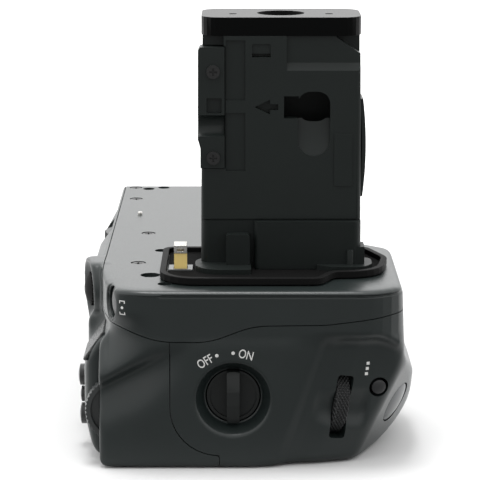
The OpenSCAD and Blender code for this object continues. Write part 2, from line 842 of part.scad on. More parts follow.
module tower_shell() {
    color("#17191a")
    difference() {
        union() {
            intersection() {
                along_x(tower_x, tower_x + tower_t) tower_side(0);
                translate([0, 0, tower_joint_z]) linear_extrude(tower_h) tower_plan(-0.01, 1.2);
            }
            // Thin raised plate, and the bar across the channel
            along_x(tower_x - 0.3, tower_x + 1) face_box(-31.8, 8, -36.1, 20.6);
        }
        // Hollow for the leads
        intersection() {
            along_x(tower_x + tower_wall + 1, tower_x + tower_t - tower_wall) tower_side(tower_wall + 4.2);
            translate([0, 0, tower_joint_z - over])
                linear_extrude(tower_h - cap_h - 12.5 - tower_wall + over) square(400, center = true);
        }
        // Notch for the bracket, and the opening under the cap
        face_cut(5.4) translate([over, 0]) face_box(0, 12.2, -5.9 - over, 41.5);
        face_cut(3) face_box(2, 41.4, -5.5, 44);
        // Channel with a bar left across it
        difference() {
            face_cut(0.7) face_box(-6, 11.6, -10.6, 42.9);
            along_x(tower_x - over, tower_x + over) face_box(-5, 25.6, -11.8, 28.6);
        }
        // Slit recess
        face_cut(0.6) face_box(-12.2, 38.9, -16.6, 42, 0.4);
        face_cut(2.4) face_box(-12.2, 38.9, -16.6, 39.7);
        // Arrow
        face_cut(2) translate([tower_rear_y, tower_joint_z]) polygon([
            [-12.8, 27], [-16.5, 28.8], [-16.5, 27.7], [-18.4, 27.7], [-18.4, 26.3],
            [-16.5, 26.3], [-16.5, 25.2]]);
        // Latch opening: deep above, a ramp below
        face_cut(tower_wall + 2) face_box(-19.8, 24.3, -23.4, 29.6);
        face_cut(tower_wall + 2) face_box(-23.1, 23.2, -30.8, 30.7, 3);
        intersection() {
            face_cut(6) face_box(-23.1, 15.3, -30.8, 30.7, 3.6);
            along_y(tower_front_y, tower_rear_y) polygon([
                [tower_x - over, tower_joint_z + 15], [tower_x + 0.3, tower_joint_z + 15.2],
                [tower_x + 3, tower_joint_z + 24], [tower_x + 3, tower_joint_z + 31],
                [tower_x - over, tower_joint_z + 31]]);
        }
        // Upper front panel, set back above a bevel
        intersection() {
            face_cut(1.4) face_box(-20.4, 35.6, -45, 50);
            along_y(tower_front_y - over, tower_rear_y) polygon([
                [tower_x - over, tower_joint_z + 34], [tower_x, tower_joint_z + 35.7],
                [tower_x + 1, tower_joint_z + 37.5], [tower_x + 1, tower_joint_z + 60],
                [tower_x - over, tower_joint_z + 60]]);
        }
        // Corner cut off under the cap
        face_cut(5) polygon([
            [tower_front_y + 6.1, tower_shell_top + over], [tower_front_y + 6.1, tower_shell_top - 0.4],
            [tower_front_y - over, tower_shell_top - 5.2], [tower_front_y - over, tower_shell_top + over]]);
        // Seat of the side spring
        translate([tower_x + 1.2, tower_front_y - over, tower_joint_z + 5])
            cube([9, over + 1, 24]);
        // Screw holes of the bracket
        for (z = bracket_screw_z) translate([tower_x - over, bracket_y, z]) rotate([0, 90, 0])
            cylinder(r = screw_shank_r + run_gap, h = 9);
    }
}

module tower_cap() {
    color("#121415")
    difference() {
        translate([0, 0, tower_shell_top]) linear_extrude(cap_h) offset(delta = -tower_draft)
            tower_plan(-0.3, 5);
        // Dish and two sunk holes in the top
        translate([tower_mid_x, tower_y, tower_top_z - 1.2]) cylinder(r = 5.7, h = 2);
        for (s = [-1, 1]) translate([tower_mid_x - 2, tower_y + s * 11.5, tower_top_z - 1])
            cylinder(r = 1, h = 2);
    }
}

bracket_y = tower_rear_y - 3;
bracket_low = tower_joint_z + 12.4;
bracket_top = tower_joint_z + 41.3;
bracket_screw_z = [bracket_low + 2.5, bracket_top - 5.8];

module tower_bracket() {
    color("#1d1f20")
    difference() {
        along_x(tower_x - 0.5, tower_x + 5.2) polygon([
            [tower_rear_y + 0.1, bracket_low], [tower_rear_y + 0.1, bracket_low + 4.7],
            [tower_rear_y + 0.7, bracket_low + 6.9], [tower_rear_y + 0.6, bracket_top - 0.8],
            [tower_rear_y + 0.1, bracket_top], [tower_rear_y - 5.7, bracket_top],
            [tower_rear_y - 5.7, bracket_low]]);
        // Square pocket, round hollow and a step
        along_x(tower_x - over, tower_x + 0.7)
            face_box(-1.4, 25.6, -5, 29.2, 0.3);
        translate([tower_x - 1.4, tower_rear_y + over, tower_joint_z + 22.6]) rotate([90, 0, 0])
            cylinder(r = 2.7, h = 7);
        for (z = bracket_screw_z) translate([tower_x - over, bracket_y, z]) rotate([0, 90, 0])
            cylinder(r = screw_shank_r + run_gap, h = 9);
    }
}

module bracket_screws() {
    color("#242627")
    for (z = bracket_screw_z) translate([tower_x - 0.5 - screw_head_h, bracket_y, z])
        rotate([0, -90, 0]) fastener(5.6);
}

// Bowed leaf on the tower's front side
module side_spring() {
    color("#1a1c1d")
    intersection() {
        translate([tower_x + 1.4, tower_front_y + 92.4 - 0.05, tower_joint_z + 17]) rotate([0, 90, 0])
            difference() {
                cylinder(r = 93.5, h = 8.6, $fn = 240);
                translate([0, 0, -over]) cylinder(r = 92.4, h = 12, $fn = 240);
            }
        translate([tower_x, tower_front_y - 3, tower_joint_z + 5.2]) cube([20, 4, 23.6]);
    }
}

// Outline of the seal: it follows the near end, steps back, and ends against the tower's sides
module seal_plan(inset) {
    offset(delta = -inset) polygon(rounded([
        [seal_x, seal_rear_y, 9],
        [seal_far_x, seal_rear_y, 3],
        [seal_far_x, tower_front_y - 2.6, 3],
        [tower_x + 7, tower_front_y - 7, 7],
        [seal_x + 8, tower_front_y - 4.6, 9],
        [seal_x + 7.2, tower_front_y + 6.6, 2],
        [seal_x, tower_front_y + 10, 3]]));
}

module gasket() {
    color("#151616")
    translate([0, 0, base_h]) linear_extrude(seal_h) difference() {
        seal_plan(0);
        seal_plan(seal_w);
        tower_plan(-seat_gap, 2);
    }
}

module seal_plate() {
    color("#202223")
    difference() {
        translate([0, 0, base_h]) linear_extrude(seal_plate_t) difference() {
            seal_plan(seal_w + seat_gap);
            tower_plan(-seat_gap, 2);
            polygon(rounded([[tower_x - 2.6, tower_rear_y - 12.9], [tower_x + 4, tower_rear_y - 12.9],
                [tower_x + 4, tower_front_y - 1.3], [tower_x - 2.6, tower_front_y - 1.3]]));
            translate([tower_x - 2.6, tower_front_y + 2.6]) circle(r = 0.8 + seat_gap);
        }
        translate([contact_x - 2.9, contact_y - 3.1, base_h - over]) cube([5.8, 6.2, 3]);
    }
}

// Earth contact beside the tower's foot
contact_x = tower_x - 1.2;
contact_y = tower_rear_y + 4.9;
contact_w = 3.1;

module contact_socket() {
    color("#0f1010")
    difference() {
        translate([contact_x - 2.7, contact_y - 2.9, base_h]) cube([5.4, 5.8, 0.9]);
        translate([contact_x - 1.7, contact_y - contact_w / 2 - 0.1, base_h + 0.4])
            cube([3.4, contact_w + 0.2, 3]);
    }
}

module ground_contact() {
    color("#d8a63a")
    translate([contact_x - 1, contact_y - contact_w / 2, base_h + 0.4]) cube([0.5, contact_w, 4.1]);
    color("#d8a63a")
    translate([contact_x - 1, contact_y - contact_w / 2, base_h + 0.4]) cube([2, contact_w, 0.4]);
}

module contact_clip() {
    color("#c9c5b8")
    difference() {
        along_y(contact_y - contact_w / 2, contact_y + contact_w / 2) polygon([
            [contact_x - 1.2, base_h + 4.5], [contact_x - 1.2, base_h + 6.4],
            [contact_x + 0.4, base_h + 7.1], [contact_x + 1.2, base_h + 6.2],
            [contact_x + 1.2, base_h + 0.8], [contact_x + 0.7, base_h + 0.8],
            [contact_x + 0.7, base_h + 5.7], [contact_x - 0.5, base_h + 5.9],
            [contact_x - 0.5, base_h + 4.5]]);
        // Window in the front
        translate([contact_x - 2, contact_y - 0.85, base_h + 4.95]) cube([1.8, 1.7, 1]);
    }
}

module locating_pin() {
    color("#d9d9d6")
    translate([11.3, 21.2, base_h - 1]) cylinder(r = 0.6, h = 1.5);
}

// Rubber pad on the thumb rest: sunk by sink into the slope
module pad_plate(sink, grow) {
    rest_l = norm([rear_y - rest_high_y, rest_high_z - rest_low_z]);
    translate([step_x + 1.2, rear_y, rest_low_z]) rotate([180 - rest_angle, 0, 0])
        translate([-grow, 0.7 - grow, -0.25])
        cube([rest_end - step_x - 2.6 + 2 * grow, rest_l - 2.2 + 2 * grow, 0.25 + sink]);
}

module thumb_pad() {
    color("#1a1b1b") pad_plate(0.55, 0);
}

module front_dial_axle() {
    color("#9a9c9e")
    at_dial() rotate([90, 0, 0])
        cylinder(r = dial_axle_r - 0.02, h = dial_w + 2 * (free_gap + dial_block_t) - 0.6, center = true);
}

module rear_dial_axle() {
    color("#9a9c9e")
    translate([face_x + 1.4, rear_dial_y, rear_dial_z]) rotate([0, 90, 0])
        cylinder(r = rear_axle_r - 0.02, h = frame_near_x - face_x - 0.6);
}

module wheel_axle() {
    color("#9a9c9e")
    translate([0, wheel_y, gear_z - 1.4]) cylinder(r = wheel_axle_r - 0.02, h = wheel_top_z - gear_z + 1.4);
}

module control_board() {
    color("#1f4a33")
    difference() {
        translate([frame_near_x - board_t - seat_gap / 2, -slim_y + 6, 10])
            cube([board_t, 30, 22]);
        translate([frame_near_x - 5, knob_y, knob_z]) rotate([0, 90, 0])
            cylinder(r = knob_shaft_r + 0.4, h = 10);
    }
}

module button_switches() {
    color("#8d8f90") {
        at_shutter() button_switch(shutter_r);
        at_function() button_switch(function_r);
        at_focus() button_switch(focus_r);
        for (i = [0:2]) at_rear_button(i) button_switch(i == 1 ? rear_button_small : rear_button_r);
    }
}

module bay_contacts() {
    color("#d8a63a")
    for (y = contact_rows) translate([bay_near_x - 0.5, y - 1.4, tray_floor_z + 5.2])
        cube([0.6, 2.8, 11.6]);
}

module power_knob() {
    color("#2b2f30")
    translate([0, knob_y, knob_z]) {
        difference() {
            union() {
                translate([knob_face_x, 0, 0]) rotate([0, 90, 0]) cylinder(r = knob_r, h = knob_disc);
                // Grip bar across the knob
                intersection() {
                    translate([face_x + 0.3, -knob_bar_w / 2, -knob_r])
                        cube([knob_well_depth + 1, knob_bar_w, 2 * knob_r]);
                    translate([face_x + 0.3, 0, 0]) rotate([0, 90, 0]) cylinder(r = knob_r - 0.02, h = 6);
                    translate([face_x + 12.8, 0, 0]) rotate([90, 0, 0]) cylinder(r = 12.6, h = 10, center = true);
                }
                translate([knob_face_x, 0, 0]) rotate([0, 90, 0])
                    cylinder(r = knob_shaft_r, h = frame_near_x - 0.6 - knob_face_x);
            }
            // Sunk halves either side of the bar
            translate([knob_face_x - over, 0, 0]) rotate([0, 90, 0]) difference() {
                cylinder(r = knob_r - 0.7, h = 0.5 + over);
                translate([-knob_r, -knob_bar_w / 2, -over]) cube([2 * knob_r, knob_bar_w, 2]);
            }
        }
    }
}

// A ridged wheel on the Y axis, with a bore
module ridged_wheel(r, w, ridges, depth, bore_r) {
    rotate([90, 0, 0]) difference() {
        linear_extrude(w, center = true)
            polygon([for (i = [0:2 * ridges - 1])
                (i % 2 == 0 ? r : r - depth) * [cos(180 * i / ridges), sin(180 * i / ridges)]]);
        cylinder(r = bore_r, h = w + 2 * over, center = true);
    }
}

module front_dial() {
    color("#232627")
    at_dial() ridged_wheel(dial_r, dial_w, dial_ridges, 0.45, dial_axle_r + run_gap);
}

module rear_dial() {
    color("#232627")
    translate([rear_dial_x + rear_dial_w / 2, rear_dial_y, rear_dial_z]) rotate([0, 0, 90])
        difference() {
            ridged_wheel(rear_dial_r, rear_dial_w, 48, 0.35, rear_axle_r + run_gap);
            translate([0, rear_dial_w / 2 - 0.8, 0]) rotate([-90, 0, 0]) difference() {
                cylinder(r = rear_dial_r - rear_dial_rim, h = 2);
                translate([0, 0, -over]) cylinder(r = 2.6, h = 4);
            }
        }
}

module shutter_button() {
    color("#4b5051") at_shutter() button(shutter_r, 0.7);
}

module function_button() {
    color("#2a2d2e") at_function() button(function_r, 0.3);
}

module focus_button() {
    color("#2a2d2e") at_focus() button(focus_r, -focus_sink);
}

module upper_rear_button() {
    color("#2a2d2e") at_rear_button(0) button(rear_button_r, rear_button_proud[0]);
}

module middle_rear_button() {
    color("#2a2d2e") at_rear_button(1) button(rear_button_small, rear_button_proud[1]);
}

module lower_rear_button() {
    color("#2a2d2e") at_rear_button(2) button(rear_button_r, rear_button_proud[2]);
}

// Ring of the joystick's gimbal: turns on upright trunnions
module joystick_ring() {
    color("#2a2d2e")
    at_stick() translate([stick_pivot, 0, 0]) {
        difference() {
            rotate([0, 90, 0]) cylinder(r = ring_r, h = ring_t, center = true);
            rotate([0, 90, 0]) cylinder(r = ring_in, h = 4, center = true);
            rotate([90, 0, 0]) cylinder(r = trunnion_r + run_gap, h = 20, center = true);
        }
        for (s = [0, 180]) rotate([s, 0, 0])
            translate([0, 0, ring_r - 0.3]) cylinder(r = trunnion_r, h = 1.3);
    }
}

// Joystick: a ball in the ring, on level trunnions, under a textured cap
module joystick_cap() {
    color("#1f2223")
    at_stick() translate([stick_pivot, 0, 0]) {
        intersection() {
            sphere(r = ring_in - 0.45);
            cube([3, 20, 20], center = true);
        }
        rotate([90, 0, 0]) cylinder(r = trunnion_r, h = 2 * ring_r - 0.8, center = true);
        translate([-stick_pivot - stick_proud + 1, 0, 0]) rotate([0, 90, 0])
            cylinder(r = 1.6, h = stick_pivot + stick_proud - 1);
        intersection() {
            translate([-stick_pivot - stick_proud, 0, 0]) rotate([0, 90, 0]) linear_extrude(2)
                polygon([for (i = [0:47]) (stick_r - i % 2 * 0.3) * [cos(7.5 * i), sin(7.5 * i)]]);
            translate([stick_crown - 0.1 - stick_pivot - stick_proud, 0, 0]) sphere(r = stick_crown);
        }
    }
}

// Involute angle of a radius, in degrees
function involute(rb, r) = let (a = acos(min(1, rb / r))) tan(a) * 180 / PI - a;
// Outline of a spur gear; the first tooth is centred on +X
function gear_points(teeth) =
    let (rp = gear_module * teeth / 2, rb = rp * cos(20), ra = rp + 0.95 * gear_module,
         rf = rp - 1.2 * gear_module,
         half = 90 / teeth - tooth_play / 2 / rp * 90 / PI + involute(rb, rp),
         radii = [for (i = [0:4]) max(rb, rf) + (ra - max(rb, rf)) * i / 4])
    [for (k = [0:teeth - 1]) let (a = 360 * k / teeth) each concat(
        [rf * [cos(a - half), sin(a - half)]],
        [for (r = radii) let (t = a - half + involute(rb, r)) r * [cos(t), sin(t)]],
        [for (i = [4:-1:0]) let (r = radii[i], t = a + half - involute(rb, r)) r * [cos(t), sin(t)]],
        [rf * [cos(a + half), sin(a + half)]])];

module thumbwheel() {
    color("#2f3435")
    translate([0, wheel_y, 0]) difference() {
        union() {
            translate([0, 0, gear_z]) rotate([0, 0, -90]) linear_extrude(gear_h)
                polygon(gear_points(wheel_teeth));
            translate([0, 0, gear_z + gear_h - 0.1]) cylinder(r = 5, h = 0.6);
            translate([0, 0, wheel_z]) linear_extrude(wheel_top_z - wheel_z)
                polygon([for (i = [0:95])
                    (i % 2 == 0 ? wheel_r : wheel_r - 0.4) * [cos(3.75 * i), sin(3.75 * i)]]);
        }
        translate([0, 0, gear_z - over]) cylinder(r = wheel_axle_r + run_gap, h = base_h);
    }
}

module mount_screw() {
    color("#b9b6ae") {
        translate([0, 0, gear_z]) rotate([0, 0, 90 + 180 / screw_teeth]) linear_extrude(gear_h)
            polygon(gear_points(screw_teeth));
        translate([0, 0, gear_z - 1.4]) cylinder(r = 2, h = 2);
        translate([0, 0, gear_z + gear_h]) cylinder(r = 6, h = base_h - wall - free_gap - gear_z - gear_h);
        translate([0, 0, gear_z + gear_h]) cylinder(r = mount_screw_r + 1, h = base_h - gear_z - gear_h);
        translate([0, 0, base_h - over]) cylinder(r = mount_screw_r, h = mount_screw_reach + over);
    }
}

// Tray with two open wells, one behind the other
module battery_tray() {
    color("#202223")
    difference() {
        translate([tray_near_x, -tray_w / 2, tray_floor_z]) cube([tray_l, tray_w, tray_h]);
        for (i = [0, 1]) translate([tray_near_x + tray_wall + i * (pack_l + tray_wall),
                -pack_w / 2, tray_floor_z + tray_wall])
            cube([pack_l, pack_w, tray_h]);
        // Finger cut-outs in the long walls
        for (i = [0, 1]) translate([tray_near_x + tray_wall + (i + 0.5) * (pack_l + tray_wall), 0,
                tray_floor_z + tray_h + 3]) rotate([90, 0, 0])
            cylinder(r = 11, h = tray_w + 2 * over, center = true);
        // Bore for the lock's shaft
        translate([tray_end_x - over - tray_wall, 0, lock_z]) rotate([0, 90, 0])
            cylinder(r = lock_shaft_r + run_gap, h = 4);
        for (y = contact_rows) translate([tray_near_x - over, y - 1.6, tray_floor_z + 5])
            cube([over + 0.4, 3.2, 12]);
    }
}

lock_r = 7.2;
lock_z = (bay_top_z + bay_floor_z) / 2;
lock_shaft_r = 1.5;
lock_depth = 1.3;

module tray_cap() {
    color("#34393a")
    difference() {
        along_x(tray_end_x, far_reach) cap_outline();
        translate([far_reach - lock_depth, 0, lock_z]) rotate([0, 90, 0])
            cylinder(r = lock_r + free_gap, h = 4);
        translate([tray_end_x - over, 0, lock_z]) rotate([0, 90, 0])
            cylinder(r = lock_shaft_r + run_gap, h = 4);
    }
}

module tray_lock() {
    color("#2b2f30")
    translate([0, 0, lock_z]) {
        translate([far_reach - lock_depth + 0.1, 0, 0]) rotate([0, 90, 0]) cylinder(r = lock_r, h = 0.5);
        intersection() {
            translate([far_reach - lock_depth + 0.1, -lock_r, -1.5]) cube([lock_depth - 0.1, 2 * lock_r, 3]);
            translate([far_reach - lock_depth, 0, 0]) rotate([0, 90, 0]) cylinder(r = lock_r - 0.02, h = 4);
        }
        translate([tray_end_x - tray_wall + 0.2, 0, 0]) rotate([0, 90, 0])
            cylinder(r = lock_shaft_r, h = wall + tray_wall - 0.4 - lock_depth + 0.5);
    }
}

module tray_contacts() {
    color("#d8a63a")
    for (y = contact_rows) translate([tray_near_x, y - 1.4, tray_floor_z + 5.2])
        cube([0.4, 2.8, 11.6]);
}

top_cover();
rear_cover();
front_cover();
base_plate();
base_screws();
inner_frame();
tripod_socket();
tower_base();
tower_shell();
tower_cap();
tower_bracket();
bracket_screws();
side_spring();
gasket();
seal_plate();
ground_contact();
contact_clip();
contact_socket();
locating_pin();
top_screws();
thumb_pad();
front_dial_axle();
rear_dial_axle();
wheel_axle();
control_board();
button_switches();
bay_contacts();
power_knob();
front_dial();
rear_dial();
shutter_button();
function_button();
focus_button();
upper_rear_button();
middle_rear_button();
lower_rear_button();
joystick_ring();
joystick_cap();
thumbwheel();
mount_screw();
battery_tray();
tray_cap();
tray_lock();
tray_contacts();
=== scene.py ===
"""Looks of a camera battery grip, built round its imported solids.

The moulded covers are drawn as smooth skins: a distance field in millimetres is built from outlines
that follow the solids', turned into one surface, and cut along the seams and round every opening.
Everything else keeps its solid's shape and gets soft edges, a finish and small details.
"""
import json
import math

import bpy
import numpy as np
from mathutils import Matrix, Vector


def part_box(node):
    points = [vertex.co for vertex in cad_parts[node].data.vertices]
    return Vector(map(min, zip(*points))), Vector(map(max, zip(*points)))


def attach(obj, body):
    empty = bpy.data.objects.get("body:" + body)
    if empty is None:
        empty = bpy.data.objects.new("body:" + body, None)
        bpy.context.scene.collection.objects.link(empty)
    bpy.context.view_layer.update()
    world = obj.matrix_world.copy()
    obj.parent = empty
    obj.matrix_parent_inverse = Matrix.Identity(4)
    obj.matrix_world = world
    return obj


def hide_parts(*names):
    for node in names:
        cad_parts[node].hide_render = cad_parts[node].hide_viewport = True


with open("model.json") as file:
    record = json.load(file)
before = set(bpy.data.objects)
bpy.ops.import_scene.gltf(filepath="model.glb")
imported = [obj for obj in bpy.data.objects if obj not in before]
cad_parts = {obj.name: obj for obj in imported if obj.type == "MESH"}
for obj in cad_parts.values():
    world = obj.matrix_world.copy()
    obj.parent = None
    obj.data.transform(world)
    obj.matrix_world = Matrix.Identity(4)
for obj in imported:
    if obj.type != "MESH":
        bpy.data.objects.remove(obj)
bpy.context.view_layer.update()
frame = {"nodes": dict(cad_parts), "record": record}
MM = 0.001

# Sizes of the base, in millimetres

NEAR_X, FAR_X = -80.0, 55.0
BASE_H = 43.2
REAR_Y, REAR_FAR_Y = 31.5, 28.5
GRIP_Y, SLIM_Y = 48.2, 24.5
FACE_X = NEAR_X + 0.5
STEP_X = NEAR_X + 8.2
END_SHELL_Y = REAR_Y - 4.4
TOP_REAR_Y = REAR_Y - 4.3
LEDGE_Z = 31.0
CREASE_Z, CREASE_R = 41.55, 0.3
LIP_PROUD, LIP_INSET = 0.38, 0.45
BULLNOSE_W, BULLNOSE_DROP = 4.4, 1.35

# Corners of the rear edge: the focus button's face, the joystick's face and the bulge of the thumbwheel

NEAR_REAR_Y = REAR_Y - 8.8
FOCUS_FACE_X, FOCUS_FACE_Y = NEAR_X + 14, REAR_Y - 5.3
STICK_FACE_X, STICK_FACE_Y = NEAR_X + 24, REAR_Y - 4.1
STICK_FACE_END = NEAR_X + 42
BUMP_END, BUMP_SLOPE = 4.0, 18.0

# Hand grip: where it ends along the base, its front outline, and the heel at the rear

GRIP_END_X, SLIM_START_X = NEAR_X + 44, NEAR_X + 66
GRIP_R = 16
GRIP_TOP_Y, WAIST_Y = 4 - GRIP_Y, 3.2 - GRIP_Y
WAIST_Z, BELLY_Z = 25.5, 18.5
HEEL_IN, HEEL_Z = 3, 10.5

# Thumb rest: its slope by the parts of its normal, the crest at its end, the corner above and the dip below

REST_LOW_Z, REST_TOP_Z = 23.5, 32.4
REST_END_X = NEAR_X + 26
REST_Y_PART, REST_Z_PART = 0.823, 0.568
CREST_Y, CREST_Z, CREST_FALL = 25.3, 23, 0.5
CORNER_Y, CORNER_BEND, CORNER_MOST = 13, 0.05, 7
DIP_DEPTH, DIP_ABOVE, DIP_BELOW = 2.5, 2.6, 6

# Seams between the covers

SEAM_GAP = 0.22
SEAM_CHANGE_X = NEAR_X + 86
SEAM_FAR_Z = 34.75
SEAM_REAR_Z = BASE_H - 8.3
SEAM_LOW_Z = BASE_H - 12.6
SEAM_HIGH_Z = BASE_H - 8.7
SEAM_FRONT_Z = BASE_H - 5.4
END_SEAM_Y, END_SEAM_Z, END_SEAM_FOOT_Y = 10.4, 3.2, -1.2

# Power knob and its conical well

KNOB_Y, KNOB_Z, KNOB_R = -4.4, 16.9, 6.2
KNOB_WELL_R, KNOB_WELL_DEPTH, KNOB_WELL_FALL = 8.95, 3.6, 0.58

# Recess of the focus button, collar and dish of the joystick, hollows of the control deck

FOCUS_RECESS_GAP, FOCUS_RECESS_DEPTH = 0.8, 0.75
COLLAR_R, COLLAR_UP, COLLAR_PROUD = 8.1, 0.7, 1.8
DISH_R, DISH_FALL, DISH_PROUD = 6.7, 0.8, 1.5
DECK_HOLLOW = 0.8
LEDGE_BEND, LEDGE_BEND_Y = 0.075, -37
TROUGH_R, TROUGH_OUT, TROUGH_HALF = 8.5, 7.3, 6.6


def rounded(path, steps=10):
    """Closed outline whose corners (u, v, radius) are rounded."""
    points = []
    for i, here in enumerate(path):
        p = np.array(here[:2], float)
        r = here[2] if len(here) > 2 else 0
        if r <= 0:
            points.append(p)
            continue
        a = np.array(path[i - 1][:2]) - p
        b = np.array(path[(i + 1) % len(path)][:2]) - p
        a, b = a / np.linalg.norm(a), b / np.linalg.norm(b)
        half = math.acos(np.clip(a @ b, -1, 1)) / 2
        mid = a + b
        c = p + mid / np.linalg.norm(mid) * r / math.sin(half)
        s, e = p + a * r / math.tan(half) - c, p + b * r / math.tan(half) - c
        a0 = math.atan2(s[1], s[0])
        sweep = (math.atan2(e[1], e[0]) - a0 + math.pi) % (2 * math.pi) - math.pi
        for k in range(steps + 1):
            t = a0 + sweep * k / steps
            points.append(c + r * np.array([math.cos(t), math.sin(t)]))
    return np.array(points)


def polygon_distance(points, u, v):
    """Signed distance to a closed outline: negative inside."""
    shape = np.broadcast(u, v).shape
    best = np.full(shape, 1e12, np.float32)
    inside = np.zeros(shape, bool)
    for (ax, ay), (bx, by) in zip(points, np.roll(points, -1, 0)):
        ex, ey = bx - ax, by - ay
        if ex == 0 and ey == 0:
            continue
        wu, wv = u - ax, v - ay
        t = np.clip((wu * ex + wv * ey) / (ex * ex + ey * ey), 0, 1)
        best = np.minimum(best, (wu - ex * t) ** 2 + (wv - ey * t) ** 2)
        turn = ex * wv - ey * wu
        inside ^= ((v >= ay) & (v < by) & (turn > 0)) | ((v >= by) & (v < ay) & (turn < 0))
    return np.sqrt(best) * np.where(inside, -1, 1)


def smooth_max(a, b, k):
    """The larger of two distances, blended where they differ by less than k millimetres."""
    h = np.clip(0.5 + 0.5 * (a - b) / k, 0, 1)
    return b + (a - b) * h + k * h * (1 - h)


def smooth_min(a, b, k):
    return -smooth_max(-a, -b, k)


def ramp(lo, hi, v):
    """0 below lo, 1 above hi, smooth between."""
    t = np.clip((v - lo) / (hi - lo), 0, 1)
    return t * t * (3 - 2 * t)


def turned(pitch, yaw):
    """Rotation that pitches about Y, then yaws about Z."""
    about_z = Matrix.Rotation(math.radians(yaw), 3, "Z")
    about_y = Matrix.Rotation(math.radians(pitch), 3, "Y")
    return np.array(about_z @ about_y)


class Place:
    """A spot on the surface: local -X points outwards."""

    def __init__(self, origin, rotation):
        self.origin, self.rotation = np.array(origin, float), rotation

    def local(self, x, y, z):
        d = (x - self.origin[0], y - self.origin[1], z - self.origin[2])
        r = self.rotation
        return [d[0] * r[0, i] + d[1] * r[1, i] + d[2] * r[2, i] for i in range(3)]

    def at(self, offset, roll=0):
        turn = np.array(Matrix.Rotation(math.radians(roll), 3, "X"))
        return Place(self.origin + self.rotation @ np.array(offset, float), self.rotation @ turn)

    def inward(self):
        return self.rotation[:, 0]


def rear_face(slope):
    """Rotation of a place on a rear face that runs outwards by slope along the base."""
    return turned(0, -90 + math.degrees(math.atan(slope)))


# Places of the controls on the covers

DECK_YAW, DECK_PITCH = 15.56, -5.34
DECK = Place([FACE_X, -23.7, LEDGE_Z - 0.4], turned(DECK_PITCH, DECK_YAW))
BEVEL = Place([NEAR_X + 6.8, 8.6 - GRIP_Y, 13.5], turned(-23, 63.7))


def on_deck(y, z, depth=0.0, roll=0):
    """The place on the deck at this Y and Z, sunk by depth and rolled about its inward axis."""
    across = (y - DECK.origin[1]) / math.cos(math.radians(DECK_YAW))
    return DECK.at([depth, across, z - DECK.origin[2]], roll)


DIAL_R, DIAL_W, DIAL_PROUD, DIAL_TILT = 9.0, 3.4, 1.05, 7
DIAL = on_deck(-30.3, 14.05, DIAL_R - DIAL_PROUD, DIAL_TILT)
FUNCTION = on_deck(-39.1, 18.4)
SHUTTER = BEVEL.at([0, -10.3, -1.9])
FOCUS_SLOPE = (FOCUS_FACE_Y - NEAR_REAR_Y) / (FOCUS_FACE_X - NEAR_X)
FOCUS_R, FOCUS_X = 3.3, NEAR_X + 7.5
FOCUS = Place([FOCUS_X, NEAR_REAR_Y + (FOCUS_X - NEAR_X) * FOCUS_SLOPE, BASE_H - FOCUS_R - 1.1],
              rear_face(FOCUS_SLOPE))
STICK_SLOPE = (REAR_Y - STICK_FACE_Y) / (STICK_FACE_END - STICK_FACE_X)
STICK_X = NEAR_X + 34
STICK = Place([STICK_X, STICK_FACE_Y + (STICK_X - STICK_FACE_X) * STICK_SLOPE, BASE_H - 7.4],
              rear_face(STICK_SLOPE))
REAR_BUTTONS = [(Place([NEAR_X + 20, REAR_Y, z], rear_face(0)), r)
                for z, r in ((17.7, 2.6), (12.9, 1.9), (8, 2.6))]
REAR_DIAL_Y, REAR_DIAL_Z, REAR_DIAL_R = REAR_Y - 8.9, 13.3, 8.0

# Outlines: plans of the upper and lower body, the end's outline and the areas of the covers

FAR_REAR = [(BUMP_END, REAR_Y, 12), (BUMP_END + BUMP_SLOPE, REAR_FAR_Y, 12), (FAR_X, REAR_FAR_Y, 1.5)]
FRONT_EDGE = [(FAR_X, -SLIM_Y, 4), (SLIM_START_X, -SLIM_Y, 14), (GRIP_END_X, -GRIP_Y, GRIP_R),
              (NEAR_X, -GRIP_Y, GRIP_R)]
UPPER_PLAN = rounded([(NEAR_X, NEAR_REAR_Y, 8), (FOCUS_FACE_X, FOCUS_FACE_Y, 5),
                      (STICK_FACE_X, STICK_FACE_Y, 6), (STICK_FACE_END, REAR_Y, 6)] + FAR_REAR + FRONT_EDGE)
LOWER_PLAN = rounded([(NEAR_X, END_SHELL_Y, 2.2), (STEP_X, END_SHELL_Y), (STEP_X, REAR_Y, 4.2)]
                     + FAR_REAR + FRONT_EDGE)
END_OUTLINE = rounded([(REAR_Y - HEEL_IN, 0, 5.5), (REAR_Y, HEEL_Z, 8), (REAR_Y, BASE_H - 5.2, 3),
                       (TOP_REAR_Y + 0.3, BASE_H, 1), (GRIP_TOP_Y, BASE_H, 2.5),
                       (WAIST_Y, WAIST_Z, 5), (-GRIP_Y, BELLY_Z, 5), (-GRIP_Y, 0, 14)])
PAST_FRONT_Y, PAST_TOP_Z, PAST_BOTTOM_Z = -GRIP_Y - 3, BASE_H + 1, -2
TOP_AREA = rounded([(TOP_REAR_Y, PAST_TOP_Z), (TOP_REAR_Y, SEAM_REAR_Z),
                    (12, SEAM_LOW_Z, 24), (1, SEAM_LOW_Z, 20),
                    (-9, SEAM_HIGH_Z, 20), (-26, SEAM_HIGH_Z + 0.2, 30),
                    (PAST_FRONT_Y, SEAM_FRONT_Z), (PAST_FRONT_Y, PAST_TOP_Z)])
FRONT_AREA = rounded([(END_SEAM_Y, BASE_H), (END_SEAM_Y, END_SEAM_Z, 11.5),
                      (END_SEAM_FOOT_Y, END_SEAM_Z, 0.8), (END_SEAM_FOOT_Y, PAST_BOTTOM_Z),
                      (PAST_FRONT_Y, PAST_BOTTOM_Z), (PAST_FRONT_Y, BASE_H)])
